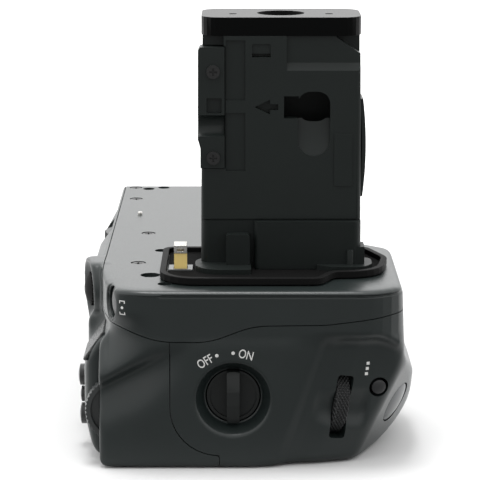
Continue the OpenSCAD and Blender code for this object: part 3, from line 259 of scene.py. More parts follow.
FAR_TOP_AREA = np.array([[TOP_REAR_Y, PAST_TOP_Z], [TOP_REAR_Y, SEAM_FAR_Z], [PAST_FRONT_Y, SEAM_FAR_Z],
                         [PAST_FRONT_Y, PAST_TOP_Z]])


def near_shift(y, z):
    """How far the control end's face is set back: above the thumb rest's crest and in the dip below it."""
    crest = CREST_Z + (CREST_Y - y) * CREST_FALL
    back = np.minimum(CORNER_BEND * np.maximum(0, y - CORNER_Y) ** 2, CORNER_MOST)
    above = back * ramp(crest - 2, 33, z) * (1 - 0.6 * ramp(33, 38, z))
    t = z - crest + 4
    dip = DIP_DEPTH * np.exp(-(t / np.where(t > 0, DIP_ABOVE, DIP_BELOW)) ** 2)
    return above + ramp(3, 20, y) * dip


def thumb_corner(d, x, y, z):
    """The thumb rest, the focus button's recess and the joystick's collar."""
    rest = REST_Y_PART * (y - REAR_Y) + REST_Z_PART * (z - REST_LOW_Z)
    cut = smooth_max(smooth_max(-rest, x - REST_END_X, 3), z - REST_TOP_Z, 2.5)
    d = smooth_max(d, -cut, 1.6)
    lx, ly, lz = FOCUS.local(x, y, z)
    r = np.sqrt(ly * ly + lz * lz)
    sink = smooth_max(r - FOCUS_R - FOCUS_RECESS_GAP, lx - FOCUS_RECESS_DEPTH, 0.2)
    d = smooth_max(d, -sink, 0.5)
    lx, ly, lz = STICK.local(x, y, z)
    hump = np.sqrt(ly * ly + (lz - COLLAR_UP) ** 2) - COLLAR_R
    collar = smooth_max(smooth_max(hump, -lx - COLLAR_PROUD, 1.8), lx - 3, 1)
    d = smooth_min(d, collar, 1.2)
    r = np.sqrt(ly * ly + lz * lz)
    dish = (r - DISH_R + DISH_FALL * (lx + DISH_PROUD)) / math.hypot(1, DISH_FALL)
    return smooth_max(d, -smooth_max(dish, lx - 2, 0.3), 0.5)


def front_controls(d, x, y, z):
    """The sunk deck with its ledge, the bevel, the hollow across the dial and the knob's well."""
    fall = math.tan(math.radians(-DECK_PITCH)) / math.tan(math.radians(DECK_YAW))
    run = (DECK.origin[1] - y) + (DECK.origin[2] - z) * fall
    deck = DECK.local(x, y, z)[0] - DECK_HOLLOW * ramp(0, 3, run) * (1 - ramp(5, 11, run))
    ledge = LEDGE_Z + 0.2 - LEDGE_BEND * np.maximum(0, LEDGE_BEND_Y - y) ** 2
    d = smooth_max(d, -smooth_max(deck, z - ledge, 3.0), 2.2)
    d = smooth_max(d, -BEVEL.local(x, y, z)[0], 1.4)
    lx, ly, lz = DIAL.local(x, y, z)
    trough = np.sqrt((lx + DIAL_R - DIAL_PROUD + TROUGH_OUT) ** 2 + lz ** 2) - TROUGH_R
    d = smooth_max(d, -smooth_max(trough, np.abs(ly) - TROUGH_HALF, 2.0), 0.7)
    r = np.sqrt((y - KNOB_Y) ** 2 + (z - KNOB_Z) ** 2)
    cone = (r - KNOB_WELL_R + (x - FACE_X) * KNOB_WELL_FALL) / math.hypot(1, KNOB_WELL_FALL)
    return smooth_max(d, -smooth_max(cone, x - FACE_X - KNOB_WELL_DEPTH, 0.3), 0.5)


def form(x, y, z):
    """Signed distance to the outside of the covers."""
    near_end = 1 - ramp(NEAR_X + 10, NEAR_X + 24, x)
    upper = polygon_distance(UPPER_PLAN, x, y)
    # The lip stands out over the face; a crease runs under it
    lip = near_end * (1 - ramp(12, 20, y))
    inset = LIP_INSET * lip * (1 - ramp(CREASE_Z - 0.1, CREASE_Z + 0.35, z))
    lower = smooth_max(polygon_distance(LOWER_PLAN, x, y), z - LEDGE_Z, 2.4)
    d = smooth_min(upper, lower, 2.0) + inset
    d = smooth_max(d, polygon_distance(END_OUTLINE, y, z), 1.5)
    face = FACE_X + near_shift(y, z) - LIP_PROUD * ramp(CREASE_Z, CREASE_Z + 0.3, z)
    d = smooth_max(d, face - x, 1.2)
    d = thumb_corner(d, x, y, z)
    # Top, falling away in a bullnose towards the control end's edge
    edge = np.clip((BULLNOSE_W + upper) / BULLNOSE_W, 0, 1)
    drop = BULLNOSE_DROP * near_end * (1 - np.sqrt(np.clip(1 - edge * edge, 0, 1)))
    d = smooth_max(d, (z - BASE_H + drop) * (1 - 0.15 * near_end), 0.9)
    groove = np.sqrt(d ** 2 + (z - CREASE_Z) ** 2) - CREASE_R
    d = smooth_max(d, -groove - 9 * (1 - lip), 0.25)
    # Bottom edge and far end
    d = smooth_max(d, -z, 1.2)
    d = smooth_max(d, x - FAR_X, 0.8)
    return front_controls(d, x, y, z)


def axis_points(breaks):
    """Coordinates from (end, step) pairs after a start."""
    out = [breaks[0]]
    for end, step in breaks[1:]:
        n = max(1, round((end - out[-1]) / (step * 1)))
        out += list(np.linspace(out[-1], end, n + 1)[1:])
    return np.array(out, np.float32)


def surface_net(xs, ys, zs):
    """Surface of the form on a grid: points, unit normals and triangles."""
    field = form(xs[:, None, None], ys[None, :, None], zs[None, None, :]).astype(np.float32)
    inside = field < 0
    corners = [(i, j, k) for i in (0, 1) for j in (0, 1) for k in (0, 1)]
    n = [len(xs) - 1, len(ys) - 1, len(zs) - 1]
    count = sum(inside[i:i + n[0], j:j + n[1], k:k + n[2]].astype(np.int8) for i, j, k in corners)
    mixed = (count > 0) & (count < 8)
    index = np.full(mixed.shape, -1, np.int64)
    cell = np.argwhere(mixed)
    index[mixed] = np.arange(len(cell))
    total, hits = np.zeros((len(cell), 3)), np.zeros(len(cell))
    for a in corners:
        for axis in range(3):
            if a[axis]:
                continue
            b = tuple(v + (axis == m) for m, v in enumerate(a))
            ia, ib = cell + a, cell + b
            fa, fb = field[tuple(ia.T)], field[tuple(ib.T)]
            cross = (fa < 0) != (fb < 0)
            t = np.where(cross, fa / np.where(cross, fa - fb, 1), 0)
            pa = np.stack([xs[ia[:, 0]], ys[ia[:, 1]], zs[ia[:, 2]]], 1)
            pb = np.stack([xs[ib[:, 0]], ys[ib[:, 1]], zs[ib[:, 2]]], 1)
            total += np.where(cross[:, None], pa + (pb - pa) * t[:, None], 0)
            hits += cross
    points = total / hits[:, None]
    faces = []
    for axis in range(3):
        lo = [slice(1, -1)] * 3
        lo[axis] = slice(0, -1)
        a = inside[tuple(lo)]
        b = inside[tuple(slice(1, None) if m == axis else slice(1, -1) for m in range(3))]
        for flip, edges in ((False, np.argwhere(a & ~b)), (True, np.argwhere(~a & b))):
            at = edges + [0 if m == axis else 1 for m in range(3)]
            u, v = (axis + 1) % 3, (axis + 2) % 3
            ring = []
            for du, dv in ((-1, -1), (0, -1), (0, 0), (-1, 0)):
                c = at.copy()
                c[:, u] += du
                c[:, v] += dv
                ring.append(index[tuple(c.T)])
            q = np.stack(ring, 1)
            if flip:
                q = q[:, ::-1]
            faces += [q[:, [0, 1, 2]], q[:, [0, 2, 3]]]
    triangles = np.concatenate(faces)
    # The points are pulled onto the surface along its slope, by a limited step each time
    longest = 0.3
    for _ in range(2):
        value, slope = form_and_slope(points)
        size = np.maximum((slope ** 2).sum(1), 0.05)
        move = slope * (value / size)[:, None]
        length = np.linalg.norm(move, axis=1)
        points -= move * np.minimum(1, longest / np.maximum(length, 1e-9))[:, None]
    slope = form_and_slope(points)[1]
    return points, slope / np.maximum(np.linalg.norm(slope, axis=1), 1e-9)[:, None], triangles


def form_and_slope(p, h=0.04):
    """The form at points and its slope, from differences over h."""
    value = form(p[:, 0], p[:, 1], p[:, 2])
    slope = np.stack([(form(*(p + e).T) - form(*(p - e).T)) / (2 * h) for e in np.eye(3) * h], 1)
    return value, slope


class Skin:
    """Triangles with their own smooth normals, which can be cut along a line."""

    def __init__(self, points, normals, triangles):
        self.points, self.normals, self.triangles = points, normals, triangles
        self.walls = []

    def kept(self, test, wall=None, depth=1.0):
        """The part where test(points) is above 0, with a wall down from the cut edge.
        wall is a direction, or None to go straight in from the surface."""
        g = test(self.points)
        tri = self.triangles
        sign = g[tri] > 0
        number = sign.sum(1)
        out = Skin(self.points, self.normals, tri[number == 3])
        for w in self.walls:
            stays = (test(w[0]) > 0) & (test(w[3]) > 0)
            out.walls.append(tuple(corner[stays] for corner in w))
        new_points, new_normals, new_tris, edges = [], [], [], []
        base = len(self.points)
        for lone in (True, False):
            pick = tri[number == (1 if lone else 2)]
            if not len(pick):
                continue
            s = g[pick] > 0
            first = np.argmax(s if lone else ~s, axis=1)
            rows = np.arange(len(pick))
            a, b, c = (pick[rows, (first + k) % 3] for k in range(3))
            ab, nab = self.crossing(a, b, test)
            ac, nac = self.crossing(a, c, test)
            m = len(pick)
            i_ab = base + np.arange(m)
            i_ac = i_ab + m
            base += 2 * m
            new_points += [ab, ac]
            new_normals += [nab, nac]
            if lone:
                new_tris.append(np.stack([a, i_ab, i_ac], 1))
                edges.append((ab, ac, nab, nac))
            else:
                new_tris += [np.stack([i_ab, b, c], 1), np.stack([i_ab, c, i_ac], 1)]
                edges.append((ac, ab, nac, nab))
        if new_points:
            out.points = np.concatenate([self.points] + new_points)
            out.normals = np.concatenate([self.normals] + new_normals)
            out.triangles = np.concatenate([out.triangles] + new_tris)
            for p, q, n_p, n_q in edges:
                down_p = -n_p * depth if wall is None else np.broadcast_to(np.array(wall) * depth, p.shape)
                down_q = -n_q * depth if wall is None else np.broadcast_to(np.array(wall) * depth, q.shape)
                out.walls.append((p, p + down_p, q + down_q, q))
        return out

    def crossing(self, a, b, test):
        """Where the edges from a to b meet the line of the test, with the normals there."""
        pa, pb = self.points[a], self.points[b]
        ga, gb = test(pa), test(pb)
        for _ in range(3):
            t = np.clip(ga / np.where(ga == gb, 1, ga - gb), 0, 1)[:, None]
            mid = pa + (pb - pa) * t
            gm = test(mid)
            same = (gm > 0) == (ga > 0)
            pa, ga = np.where(same[:, None], mid, pa), np.where(same, gm, ga)
            pb, gb = np.where(same[:, None], pb, mid), np.where(same, gb, gm)
        n = self.normals[a] + self.normals[b]
        return mid, n / np.maximum(np.linalg.norm(n, axis=1), 1e-9)[:, None]

    def beside_seams(self, width=1.3, depth=0.9):
        """A strip a little below the surface behind every seam, so that no light shows through."""
        top = top_side(self.points)
        near = (np.abs(top) < width) | ((np.abs(front_side(self.points)) < width) & (top > 0))
        triangles = self.triangles[near[self.triangles].any(1)]
        return Skin(self.points - self.normals * depth, self.normals, triangles)

    def as_walls(self):
        """The triangles as four-cornered walls with a doubled corner."""
        a, b, c = (self.points[self.triangles[:, k]] for k in range(3))
        return [(a, b, c, c)] + self.walls

    def build(self, name):
        """The skin as a mesh object, walls included."""
        used, inverse = np.unique(self.triangles, return_inverse=True)
        points, normals = [self.points[used]], [self.normals[used]]
        tris = [inverse.reshape(-1, 3)]
        base = len(used)
        for quad in self.walls:
            m = len(quad[0])
            n = np.cross(quad[1] - quad[0], quad[3] - quad[0])
            n = n / np.maximum(np.linalg.norm(n, axis=1), 1e-12)[:, None]
            points += list(quad)
            normals += [n] * 4
            i = base + np.arange(m)
            tris += [np.stack([i, i + m, i + 2 * m], 1), np.stack([i, i + 2 * m, i + 3 * m], 1)]
            base += 4 * m
        return mesh_object(name, np.concatenate(points), np.concatenate(tris), np.concatenate(normals))


def mesh_object(name, points, triangles, normals=None):
    """A mesh object from millimetre points."""
    mesh = bpy.data.meshes.new(name)
    mesh.vertices.add(len(points))
    mesh.vertices.foreach_set("co", (np.asarray(points, np.float32) * MM).ravel())
    mesh.loops.add(3 * len(triangles))
    mesh.loops.foreach_set("vertex_index", np.asarray(triangles, np.int32).ravel())
    mesh.polygons.add(len(triangles))
    mesh.polygons.foreach_set("loop_start", np.arange(0, 3 * len(triangles), 3, dtype=np.int32))
    mesh.update()
    mesh.validate(verbose=False)
    if normals is not None and len(mesh.vertices) == len(normals):
        mesh.shade_smooth()
        mesh.normals_split_custom_set_from_vertices(np.asarray(normals, np.float32))
    o = bpy.data.objects.new(name, mesh)
    bpy.context.scene.collection.objects.link(o)
    return o


# Openings of the covers

SLOT_HALF_W, SLOT_HALF_H, SLOT_R = 1.95, 7.85, 0.8
REAR_SLOT_X, REAR_SLOT_GAP = NEAR_X + 3.4, 0.5
WINDOW_HALF, WINDOW_Z, WINDOW_HALF_H, WINDOW_Y = 7.8, 39.75, 2.85, 24
KNOB_GAP = 0.35
END_GAP, TRAY_CORNER_R = 0.2, 3.0
SCREW_HOLE_R, SCREW_HOLE_DEPTH = 1.85, 1.3
PIN_HOLE_R, BIG_HOLE_R, PIN_HOLE_DEPTH = 1.7, 2.4, 1.2
MOUNT_HOLE_R, MOUNT_HOLE_DEPTH = 4.3, 2
FOCUS_GAP, BUTTON_GAP, BUTTON_DEPTH = 0.45, 0.35, 3
FUNCTION_HOLE_R, SHUTTER_HOLE_R = 2.4, 5.35
STICK_HOLE_R = 5.45
DEEP, END_DEPTH, DIAL_DEPTH = 5, 2, 4
TOP_SCREWS = [(51.5, 24.2), (34.2, 23.3), (-13.6, 17.9), (-49.2, 18.9)]
TOP_HOLES = [(49.5, 20.4), (51.5, 16.1), (-34.9, 13.7), (-72, 11.7)]
TOP_BIG_HOLE = (-62.7, 15.4)
UP, DOWN = (0, 0, 1), (0, 0, -1)
FORWARD, FROM_NEAR, FROM_FAR = (0, -1, 0), (1, 0, 0), (-1, 0, 0)

# Tests of the seams and openings: above 0 is kept

def top_side(p):
    x, y, z = p.T
    near = polygon_distance(TOP_AREA, y, z)
    return np.where(x < SEAM_CHANGE_X, near, polygon_distance(FAR_TOP_AREA, y, z))


def front_side(p):
    return polygon_distance(FRONT_AREA, p[:, 1], p[:, 2])


def round_hole(place, r, reach=4.0):
    """Outside a round hole at a place on the surface."""
    def test(p):
        lx, ly, lz = place.local(*p.T)
        return np.maximum(np.sqrt(ly * ly + lz * lz) - r, np.abs(lx) - reach)
    return test


def top_hole(x, y, r):
    def test(p):
        return np.maximum(np.hypot(p[:, 0] - x, p[:, 1] - y) - r, BASE_H - 1 - p[:, 2])
    return test


def round_box(u, v, r):
    """Distance to a box with round corners, from the distances to its sides."""
    u, v = u + r, v + r
    return np.hypot(np.maximum(u, 0), np.maximum(v, 0)) + np.minimum(np.maximum(u, v), 0) - r


def slot_hole(p):
    lx, ly, lz = DIAL.local(*p.T)
    u, v = np.abs(ly) - SLOT_HALF_W, np.abs(lz) - SLOT_HALF_H
    return np.maximum(round_box(u, v, SLOT_R), lx)


def rear_dial_hole(p):
    r = np.hypot(p[:, 1] - REAR_DIAL_Y, p[:, 2] - REAR_DIAL_Z) - REAR_DIAL_R - REAR_SLOT_GAP
    return np.maximum(r, np.maximum(REAR_SLOT_X - p[:, 0], p[:, 0] - STEP_X - 0.05))


def wheel_window(p):
    u = np.abs(p[:, 0]) - WINDOW_HALF
    v = np.abs(p[:, 2] - WINDOW_Z) - WINDOW_HALF_H
    return np.maximum(np.maximum(u, v), WINDOW_Y - p[:, 1])


def knob_hole(p):
    r = np.hypot(p[:, 1] - KNOB_Y, p[:, 2] - KNOB_Z) - KNOB_R - KNOB_GAP
    return np.maximum(r, p[:, 0] - FACE_X - 6)


def plate_hole(p):
    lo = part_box("base_plate")[0] / MM
    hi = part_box("base_plate")[1] / MM
    u = np.maximum(lo.x - p[:, 0], p[:, 0] - hi.x)
    v = np.maximum(lo.y - p[:, 1], p[:, 1] - hi.y)
    return np.maximum(np.maximum(u, v) - END_GAP, p[:, 2] - 1)


def tray_hole(p):
    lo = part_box("tray_cap")[0] / MM
    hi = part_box("tray_cap")[1] / MM
    u = np.maximum(lo.y - p[:, 1], p[:, 1] - hi.y)
    v = np.maximum(lo.z - p[:, 2], p[:, 2] - hi.z)
    return np.maximum(round_box(u, v, TRAY_CORNER_R) - END_GAP, FAR_X - 3 - p[:, 0])


def covers():
    """The three cover skins: top, rear and front."""
    grid = (axis_points([-80.6, (-75, 0.28), (-30, 0.5), (10, 0.9), (18, 0.5), (52, 1.6), (55.6, 0.4)]),
            axis_points([-48.8, (33, 0.5)]),
            axis_points([-0.6, (5, 0.4), (40.6, 0.5), (43.6, 0.2)]))
    whole = Skin(*surface_net(*grid))
    back = whole.beside_seams()
    top = whole.kept(lambda p: -top_side(p) - SEAM_GAP / 2)
    rest = whole.kept(lambda p: top_side(p) - SEAM_GAP / 2)
    front = rest.kept(lambda p: -front_side(p) - SEAM_GAP / 2)
    rear = rest.kept(lambda p: front_side(p) - SEAM_GAP / 2)
    for x, y in TOP_SCREWS:
        top = top.kept(top_hole(x, y, SCREW_HOLE_R), DOWN, SCREW_HOLE_DEPTH)
    for x, y in TOP_HOLES:
        top = top.kept(top_hole(x, y, PIN_HOLE_R), DOWN, PIN_HOLE_DEPTH)
    top = top.kept(top_hole(*TOP_BIG_HOLE, BIG_HOLE_R), DOWN, PIN_HOLE_DEPTH)
    top = top.kept(top_hole(0, 0, MOUNT_HOLE_R), DOWN, MOUNT_HOLE_DEPTH)
    top = top.kept(round_hole(FOCUS, FOCUS_R + FOCUS_GAP), FOCUS.inward(), BUTTON_DEPTH)
    stick_hole = round_hole(STICK, STICK_HOLE_R, DEEP)
    top = top.kept(stick_hole, STICK.inward(), DEEP)
    rear = rear.kept(stick_hole, STICK.inward(), DEEP)
    top = top.kept(wheel_window, FORWARD, DEEP)
    rear = rear.kept(wheel_window, FORWARD, DEEP)
    for place, r in REAR_BUTTONS:
        rear = rear.kept(round_hole(place, r + BUTTON_GAP), place.inward(), BUTTON_DEPTH)
    rear = rear.kept(rear_dial_hole, FORWARD, DIAL_DEPTH)
    front = front.kept(slot_hole, DIAL.inward(), DEEP)
    front = front.kept(round_hole(FUNCTION, FUNCTION_HOLE_R), FUNCTION.inward(), BUTTON_DEPTH)
    front = front.kept(round_hole(SHUTTER, SHUTTER_HOLE_R, DEEP), SHUTTER.inward(), BUTTON_DEPTH)
    front = front.kept(knob_hole, FROM_NEAR, DIAL_DEPTH)
    front, rear = (s.kept(plate_hole, UP, END_DEPTH) for s in (front, rear))
    top, rear, front = (s.kept(tray_hole, FROM_FAR, END_DEPTH) for s in (top, rear, front))
    for test in (stick_hole, wheel_window, rear_dial_hole, plate_hole, tray_hole):
        back = back.kept(test)
    rear.walls += back.as_walls()
    return top, rear, front


# Finishes

def new_material(name):
    m = bpy.data.materials.new(name)
    m.use_nodes = True
    return m, m.node_tree.nodes, m.node_tree.links, m.node_tree.nodes["Principled BSDF"]


def map_range(nodes, source, target):
    """A node that takes values of the source range to the target range and clamps them."""
    node = nodes.new("ShaderNodeMapRange")
    node.inputs["From Min"].default_value, node.inputs["From Max"].default_value = source
    node.inputs["To Min"].default_value, node.inputs["To Max"].default_value = target
    return node


UNIT = (0, 1)
ROUGH_SPREAD, LEAST_ROUGH = 0.06, 0.02
WIDE_SCALE = 90
GRAIN_HEIGHT = 0.05


def finish(name, color, rough, metal=0.0, grain=0.0, grain_size=0.35, spread=0.12, specular=0.5):
    """A finish with a fine grain: colour and roughness vary a little, and the grain lifts the surface."""
    m, nodes, links, bsdf = new_material(name)
    place = nodes.new("ShaderNodeTexCoord")
    fine = nodes.new("ShaderNodeTexNoise")
    fine.inputs["Scale"].default_value = 1 / (grain_size * MM)
    fine.inputs["Detail"].default_value = 3
    links.new(place.outputs["Object"], fine.inputs["Vector"])
    wide = nodes.new("ShaderNodeTexNoise")
    wide.inputs["Scale"].default_value = WIDE_SCALE
    wide.inputs["Detail"].default_value = 4
    links.new(place.outputs["Object"], wide.inputs["Vector"])
    mix = nodes.new("ShaderNodeMix")
    mix.data_type = "RGBA"
    mix.inputs["A"].default_value = (*[c * (1 - spread) for c in color], 1)
    mix.inputs["B"].default_value = (*[c * (1 + spread) for c in color], 1)
    links.new(wide.outputs["Fac"], mix.inputs["Factor"])
    links.new(mix.outputs["Result"], bsdf.inputs["Base Color"])
    span = map_range(nodes, UNIT, (max(LEAST_ROUGH, rough - ROUGH_SPREAD), min(1, rough + ROUGH_SPREAD)))
    links.new(fine.outputs["Fac"], span.inputs["Value"])
    links.new(span.outputs["Result"], bsdf.inputs["Roughness"])
    bsdf.inputs["Metallic"].default_value = metal
    bsdf.inputs["Specular IOR Level"].default_value = specular
    if grain:
        bump = nodes.new("ShaderNodeBump")
        bump.inputs["Strength"].default_value = grain
        bump.inputs["Distance"].default_value = GRAIN_HEIGHT * MM
        links.new(fine.outputs["Fac"], bump.inputs["Height"])
        links.new(bump.outputs["Normal"], bsdf.inputs["Normal"])
    return m


FINISHES = {
    "cover_plastic": finish("cover plastic", (0.0122, 0.0175, 0.0170), 0.37, grain=0.25),
    "base_metal": finish("base metal", (0.02, 0.022, 0.022), 0.5, grain=0.2),
    "frame_plastic": finish("frame plastic", (0.012, 0.013, 0.013), 0.6, grain=0.2),
    "tower_plastic": finish("tower plastic", (0.0098, 0.0134, 0.0124), 0.42, grain=0.2, specular=0.28),
    "control_plastic": finish("control plastic", (0.012, 0.013, 0.0135), 0.42, grain=0.15),
    "shutter_plastic": finish("shutter plastic", (0.055, 0.060, 0.062), 0.34, grain=0.1),
    "rubber": finish("rubber", (0.0035, 0.0035, 0.0035), 0.7, grain=0.6, grain_size=0.6, specular=0.14),
    "screw_steel": finish("screw steel", (0.03, 0.03, 0.03), 0.42, metal=0.6),
    "bright_steel": finish("bright steel", (0.6, 0.59, 0.56), 0.28, metal=1.0),
    # Gold plate: the hue is the plating's own, but it is drawn as bright diffuse colour, not metal, so its
    # brightness is a painted reflection
    "gold_plate": finish("gold plate with painted reflection", (1.0, 0.76, 0.28), 0.4, spread=0.05),
    "board": finish("board", (0.02, 0.09, 0.045), 0.5),
}
PRINT = finish("white print", (0.82, 0.82, 0.8), 0.6, spread=0.03)


def skin_piece(skin, name, node):
    """A skin drawn in place of its cover's solid."""
    o = skin.build(name)
    o.data.materials.append(FINISHES["cover_plastic"])
    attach(o, "grip_body")
    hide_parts(node)


top_skin, rear_skin, front_skin = covers()
skin_piece(top_skin, "top_skin", "top_cover")
skin_piece(rear_skin, "rear_skin", "rear_cover")
skin_piece(front_skin, "front_skin", "front_cover")

# Solids that keep their shape: soft edges and a finish

def leather():
    """Rubber moulded like leather: small rounded scales with creases between."""
    scale_size, relief = 1.1, 0.6
    m = finish("leather rubber", (0.05, 0.052, 0.052), 0.45)
    nodes, links = m.node_tree.nodes, m.node_tree.links
    place = nodes.new("ShaderNodeTexCoord")
    cells = nodes.new("ShaderNodeTexVoronoi")
    cells.feature = "DISTANCE_TO_EDGE"
    cells.inputs["Scale"].default_value = 1 / (scale_size * MM)
    links.new(place.outputs["Object"], cells.inputs["Vector"])
    bump = nodes.new("ShaderNodeBump")
    bump.inputs["Strength"].default_value = 1
    bump.inputs["Distance"].default_value = relief * MM
    links.new(cells.outputs["Distance"], bump.inputs["Height"])
    links.new(bump.outputs["Normal"], nodes["Principled BSDF"].inputs["Normal"])
    return m


NODE_FINISH = {
    "thumb_pad": leather(),
    "seal_plate": finish("foam", (0.006, 0.006, 0.006), 0.95, grain=0.8, specular=0.05),
    "tower_cap": finish("gloss black", (0.0006, 0.0008, 0.0008), 0.34, specular=0.08),
    "contact_socket": finish("grey plastic", (0.09, 0.095, 0.095), 0.4),
    "tower_base": finish("foot plastic", (0.0098, 0.0128, 0.0120), 0.5, grain=0.2, specular=0.18),
    "rear_dial": finish("dial grey", (0.035, 0.038, 0.038), 0.45, grain=0.2),
    "power_knob": finish("knob plastic", (0.0080, 0.0098, 0.0094), 0.5, grain=0.15, specular=0.36),
}
SLOT_OF = {s["node"]: s["material_slot"] for s in frame["record"]["subparts"]}
PLAIN_EDGE, WELD_GAP, SHARP_ANGLE = 0.12, 0.002, 40
SOFT_EDGE = {
    "tower_shell": 0.25, "tower_base": 0.4, "tower_cap": 0.5, "tower_bracket": 0.25,
    "gasket": 0.45, "power_knob": 0.3, "side_spring": 0.2, "thumb_pad": 0.25,
    "shutter_button": 0.5, "focus_button": 0.4, "function_button": 0.3,
    "upper_rear_button": 0.4, "middle_rear_button": 0.4, "lower_rear_button": 0.4,
    "joystick_cap": 0.3, "contact_clip": 0.1, "ground_contact": 0.08, "tray_cap": 0.3,
}
for node, o in frame["nodes"].items():
    o.data.materials.clear()
    o.data.materials.append(NODE_FINISH.get(node, FINISHES[SLOT_OF[node]]))
    weld = o.modifiers.new("weld", "WELD")
    weld.merge_threshold = WELD_GAP * MM
    bevel = o.modifiers.new("soft edge", "BEVEL")
    bevel.width = SOFT_EDGE.get(node, PLAIN_EDGE) * MM
    bevel.segments = 2
    bevel.limit_method = "ANGLE"
    bevel.angle_limit = math.radians(SHARP_ANGLE)
    bevel.harden_normals = True

# Diamond knurl of the front dial

def knurled_wheel(name, node, place, r, w, around, across, depth):
    """A wheel on its place's local Y axis, its rim cut into small flat-topped pyramids."""
    steps = 8
    top_slope = 1.7
    chamfer, chamfer_start = 0.35, 0.44
    n, m = around * steps, across * steps
    theta = np.linspace(0, 2 * math.pi, n, endpoint=False)[:, None]
    t = np.linspace(-0.5, 0.5, m + 1)[None, :]
    u, v = theta * around / (2 * math.pi), t * across
    lattice = [1 - np.abs((g % 1) - 0.5) * 2 for g in (u + v, u - v)]
    high = np.minimum(1, top_slope * np.minimum(*lattice))
    past = np.maximum(0, np.abs(t) - chamfer_start) / (0.5 - chamfer_start)
    radius = r - depth * (1 - high) - chamfer * past
    rim = np.stack([radius * np.cos(theta), t * w + 0 * theta, radius * np.sin(theta)], -1).reshape(-1, 3)
    hubs = np.array([[0, -w / 2, 0], [0, w / 2, 0]])
    local = np.concatenate([rim, hubs])
    i, j = np.meshgrid(np.arange(n), np.arange(m), indexing="ij")
    a, b = i * (m + 1) + j, (i + 1) % n * (m + 1) + j
    tris = [np.stack(q, -1).reshape(-1, 3) for q in ((a, a + 1, b + 1), (a, b + 1, b))]
    k = np.arange(n)
    tris += [np.stack([k * 0 + n * (m + 1), k * (m + 1), (k + 1) % n * (m + 1)], 1),
             np.stack([k * 0 + n * (m + 1) + 1, (k + 1) % n * (m + 1) + m, k * (m + 1) + m], 1)]
    o = mesh_object(name, place.origin + local @ place.rotation.T, np.concatenate(tris))
    o.data.materials.append(FINISHES["control_plastic"])
    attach(o, node)
    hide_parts(node)


KNURLS_AROUND, KNURLS_ACROSS, KNURL_DEPTH = 44, 4, 0.45
knurled_wheel("knurled_dial", "front_dial", DIAL, DIAL_R, DIAL_W, KNURLS_AROUND, KNURLS_ACROSS, KNURL_DEPTH)

# Printed marks

def word_shape(word, height):
    """A short word as flat triangles round its middle, in millimetres."""
    capital, bold, narrow = 0.7, 0.012, 0.74
    curve = bpy.data.curves.new(word, "FONT")
    curve.body = word
    curve.align_x, curve.align_y = "CENTER", "CENTER"
    curve.size = height / capital
    curve.offset = bold * height
    o = bpy.data.objects.new(word, curve)
    bpy.context.scene.collection.objects.link(o)
    mesh = bpy.data.meshes.new_from_object(o.evaluated_get(bpy.context.evaluated_depsgraph_get()))
    mesh.calc_loop_triangles()
    flat = np.array([v.co[:2] for v in mesh.vertices]) * [narrow, 1]
    triangles = np.array([t.vertices[:] for t in mesh.loop_triangles])
    bpy.data.objects.remove(o)
    bpy.data.curves.remove(curve)
    bpy.data.meshes.remove(mesh)
    return flat, triangles


def dot_shape(r, n=24):
    rim = [[r * math.cos(2 * math.pi * i / n), r * math.sin(2 * math.pi * i / n)] for i in range(n)]
    return np.array([[0, 0]] + rim), np.array([[0, 1 + i, 1 + (i + 1) % n] for i in range(n)])


def bar_shape(w, h, n=8):
    flat = [[w * (i / n - 0.5), s * h / 2] for i in range(n + 1) for s in (-1, 1)]
    triangles = [t for i in range(0, 2 * n, 2) for t in ((i, i + 2, i + 3), (i, i + 3, i + 1))]
    return np.array(flat), np.array(triangles)


def moved(shape, u, v, turn=0.0):
    c, sn = math.cos(math.radians(turn)), math.sin(math.radians(turn))
    return shape[0] @ np.array([[c, sn], [-sn, c]]) + [u, v], shape[1]


def printed(name, shapes, place):
    """Print on the covers: flat shapes laid on the surface, u to the right as seen from outside, v up."""
    points, triangles, base = [], [], 0
    for flat, tris in shapes:
        points.append(flat)
        triangles.append(tris + base)
        base += len(flat)
    flat = np.concatenate(points)
    at = place.origin + np.stack([flat[:, 0] * 0, -flat[:, 0], flat[:, 1]], 1) @ place.rotation.T
    for _ in range(10):
        at = at + place.inward() * form(*at.T)[:, None]
    o = mesh_object(name, at - place.inward() * PRINT_LIFT, np.concatenate(triangles))
    o.data.materials.append(PRINT)
    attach(o, "grip_body")


PRINT_LIFT = 0.015
NEAR_FACE = Place([FACE_X, 0, 0], np.eye(3))
CORNER_FACE = Place([NEAR_X + 2, 21.6, 38.6], turned(0, -38))
BESIDE_FUNCTION = on_deck(-36.1, 23.3, 0, DIAL_TILT)
MARK_H, DOT_R = 2.1, 0.42
FRAME_W, FRAME_LINE, FRAME_TICK, FRAME_DOT_R = 1.5, 0.25, 0.7, 0.35
SQUARE, SQUARE_STEP, SQUARE_TURN = 0.75, 1.3, 7
printed("switch_marks",
        [moved(word_shape("OFF", MARK_H), -2.1, 26.0, 31), moved(dot_shape(DOT_R), 0.6, 27.5),
         moved(word_shape("ON", MARK_H), 7.4, 27.6, -14), moved(dot_shape(DOT_R), 4.4, 28.1)],
        NEAR_FACE)
printed("focus_mark",
        [moved(bar_shape(FRAME_W, FRAME_LINE), 0, 1.6), moved(bar_shape(FRAME_W, FRAME_LINE), 0, -1.6),
         moved(dot_shape(FRAME_DOT_R), 0, 0)]
        + [moved(bar_shape(FRAME_LINE, FRAME_TICK), s * 0.63, t * 1.37) for s in (-1, 1) for t in (-1, 1)],
        CORNER_FACE)
printed("function_mark",
        [moved(bar_shape(SQUARE, SQUARE), 0, v, SQUARE_TURN) for v in (-SQUARE_STEP, 0, SQUARE_STEP)],
        BESIDE_FUNCTION)

# White ground, soft studio light and the view of the photograph

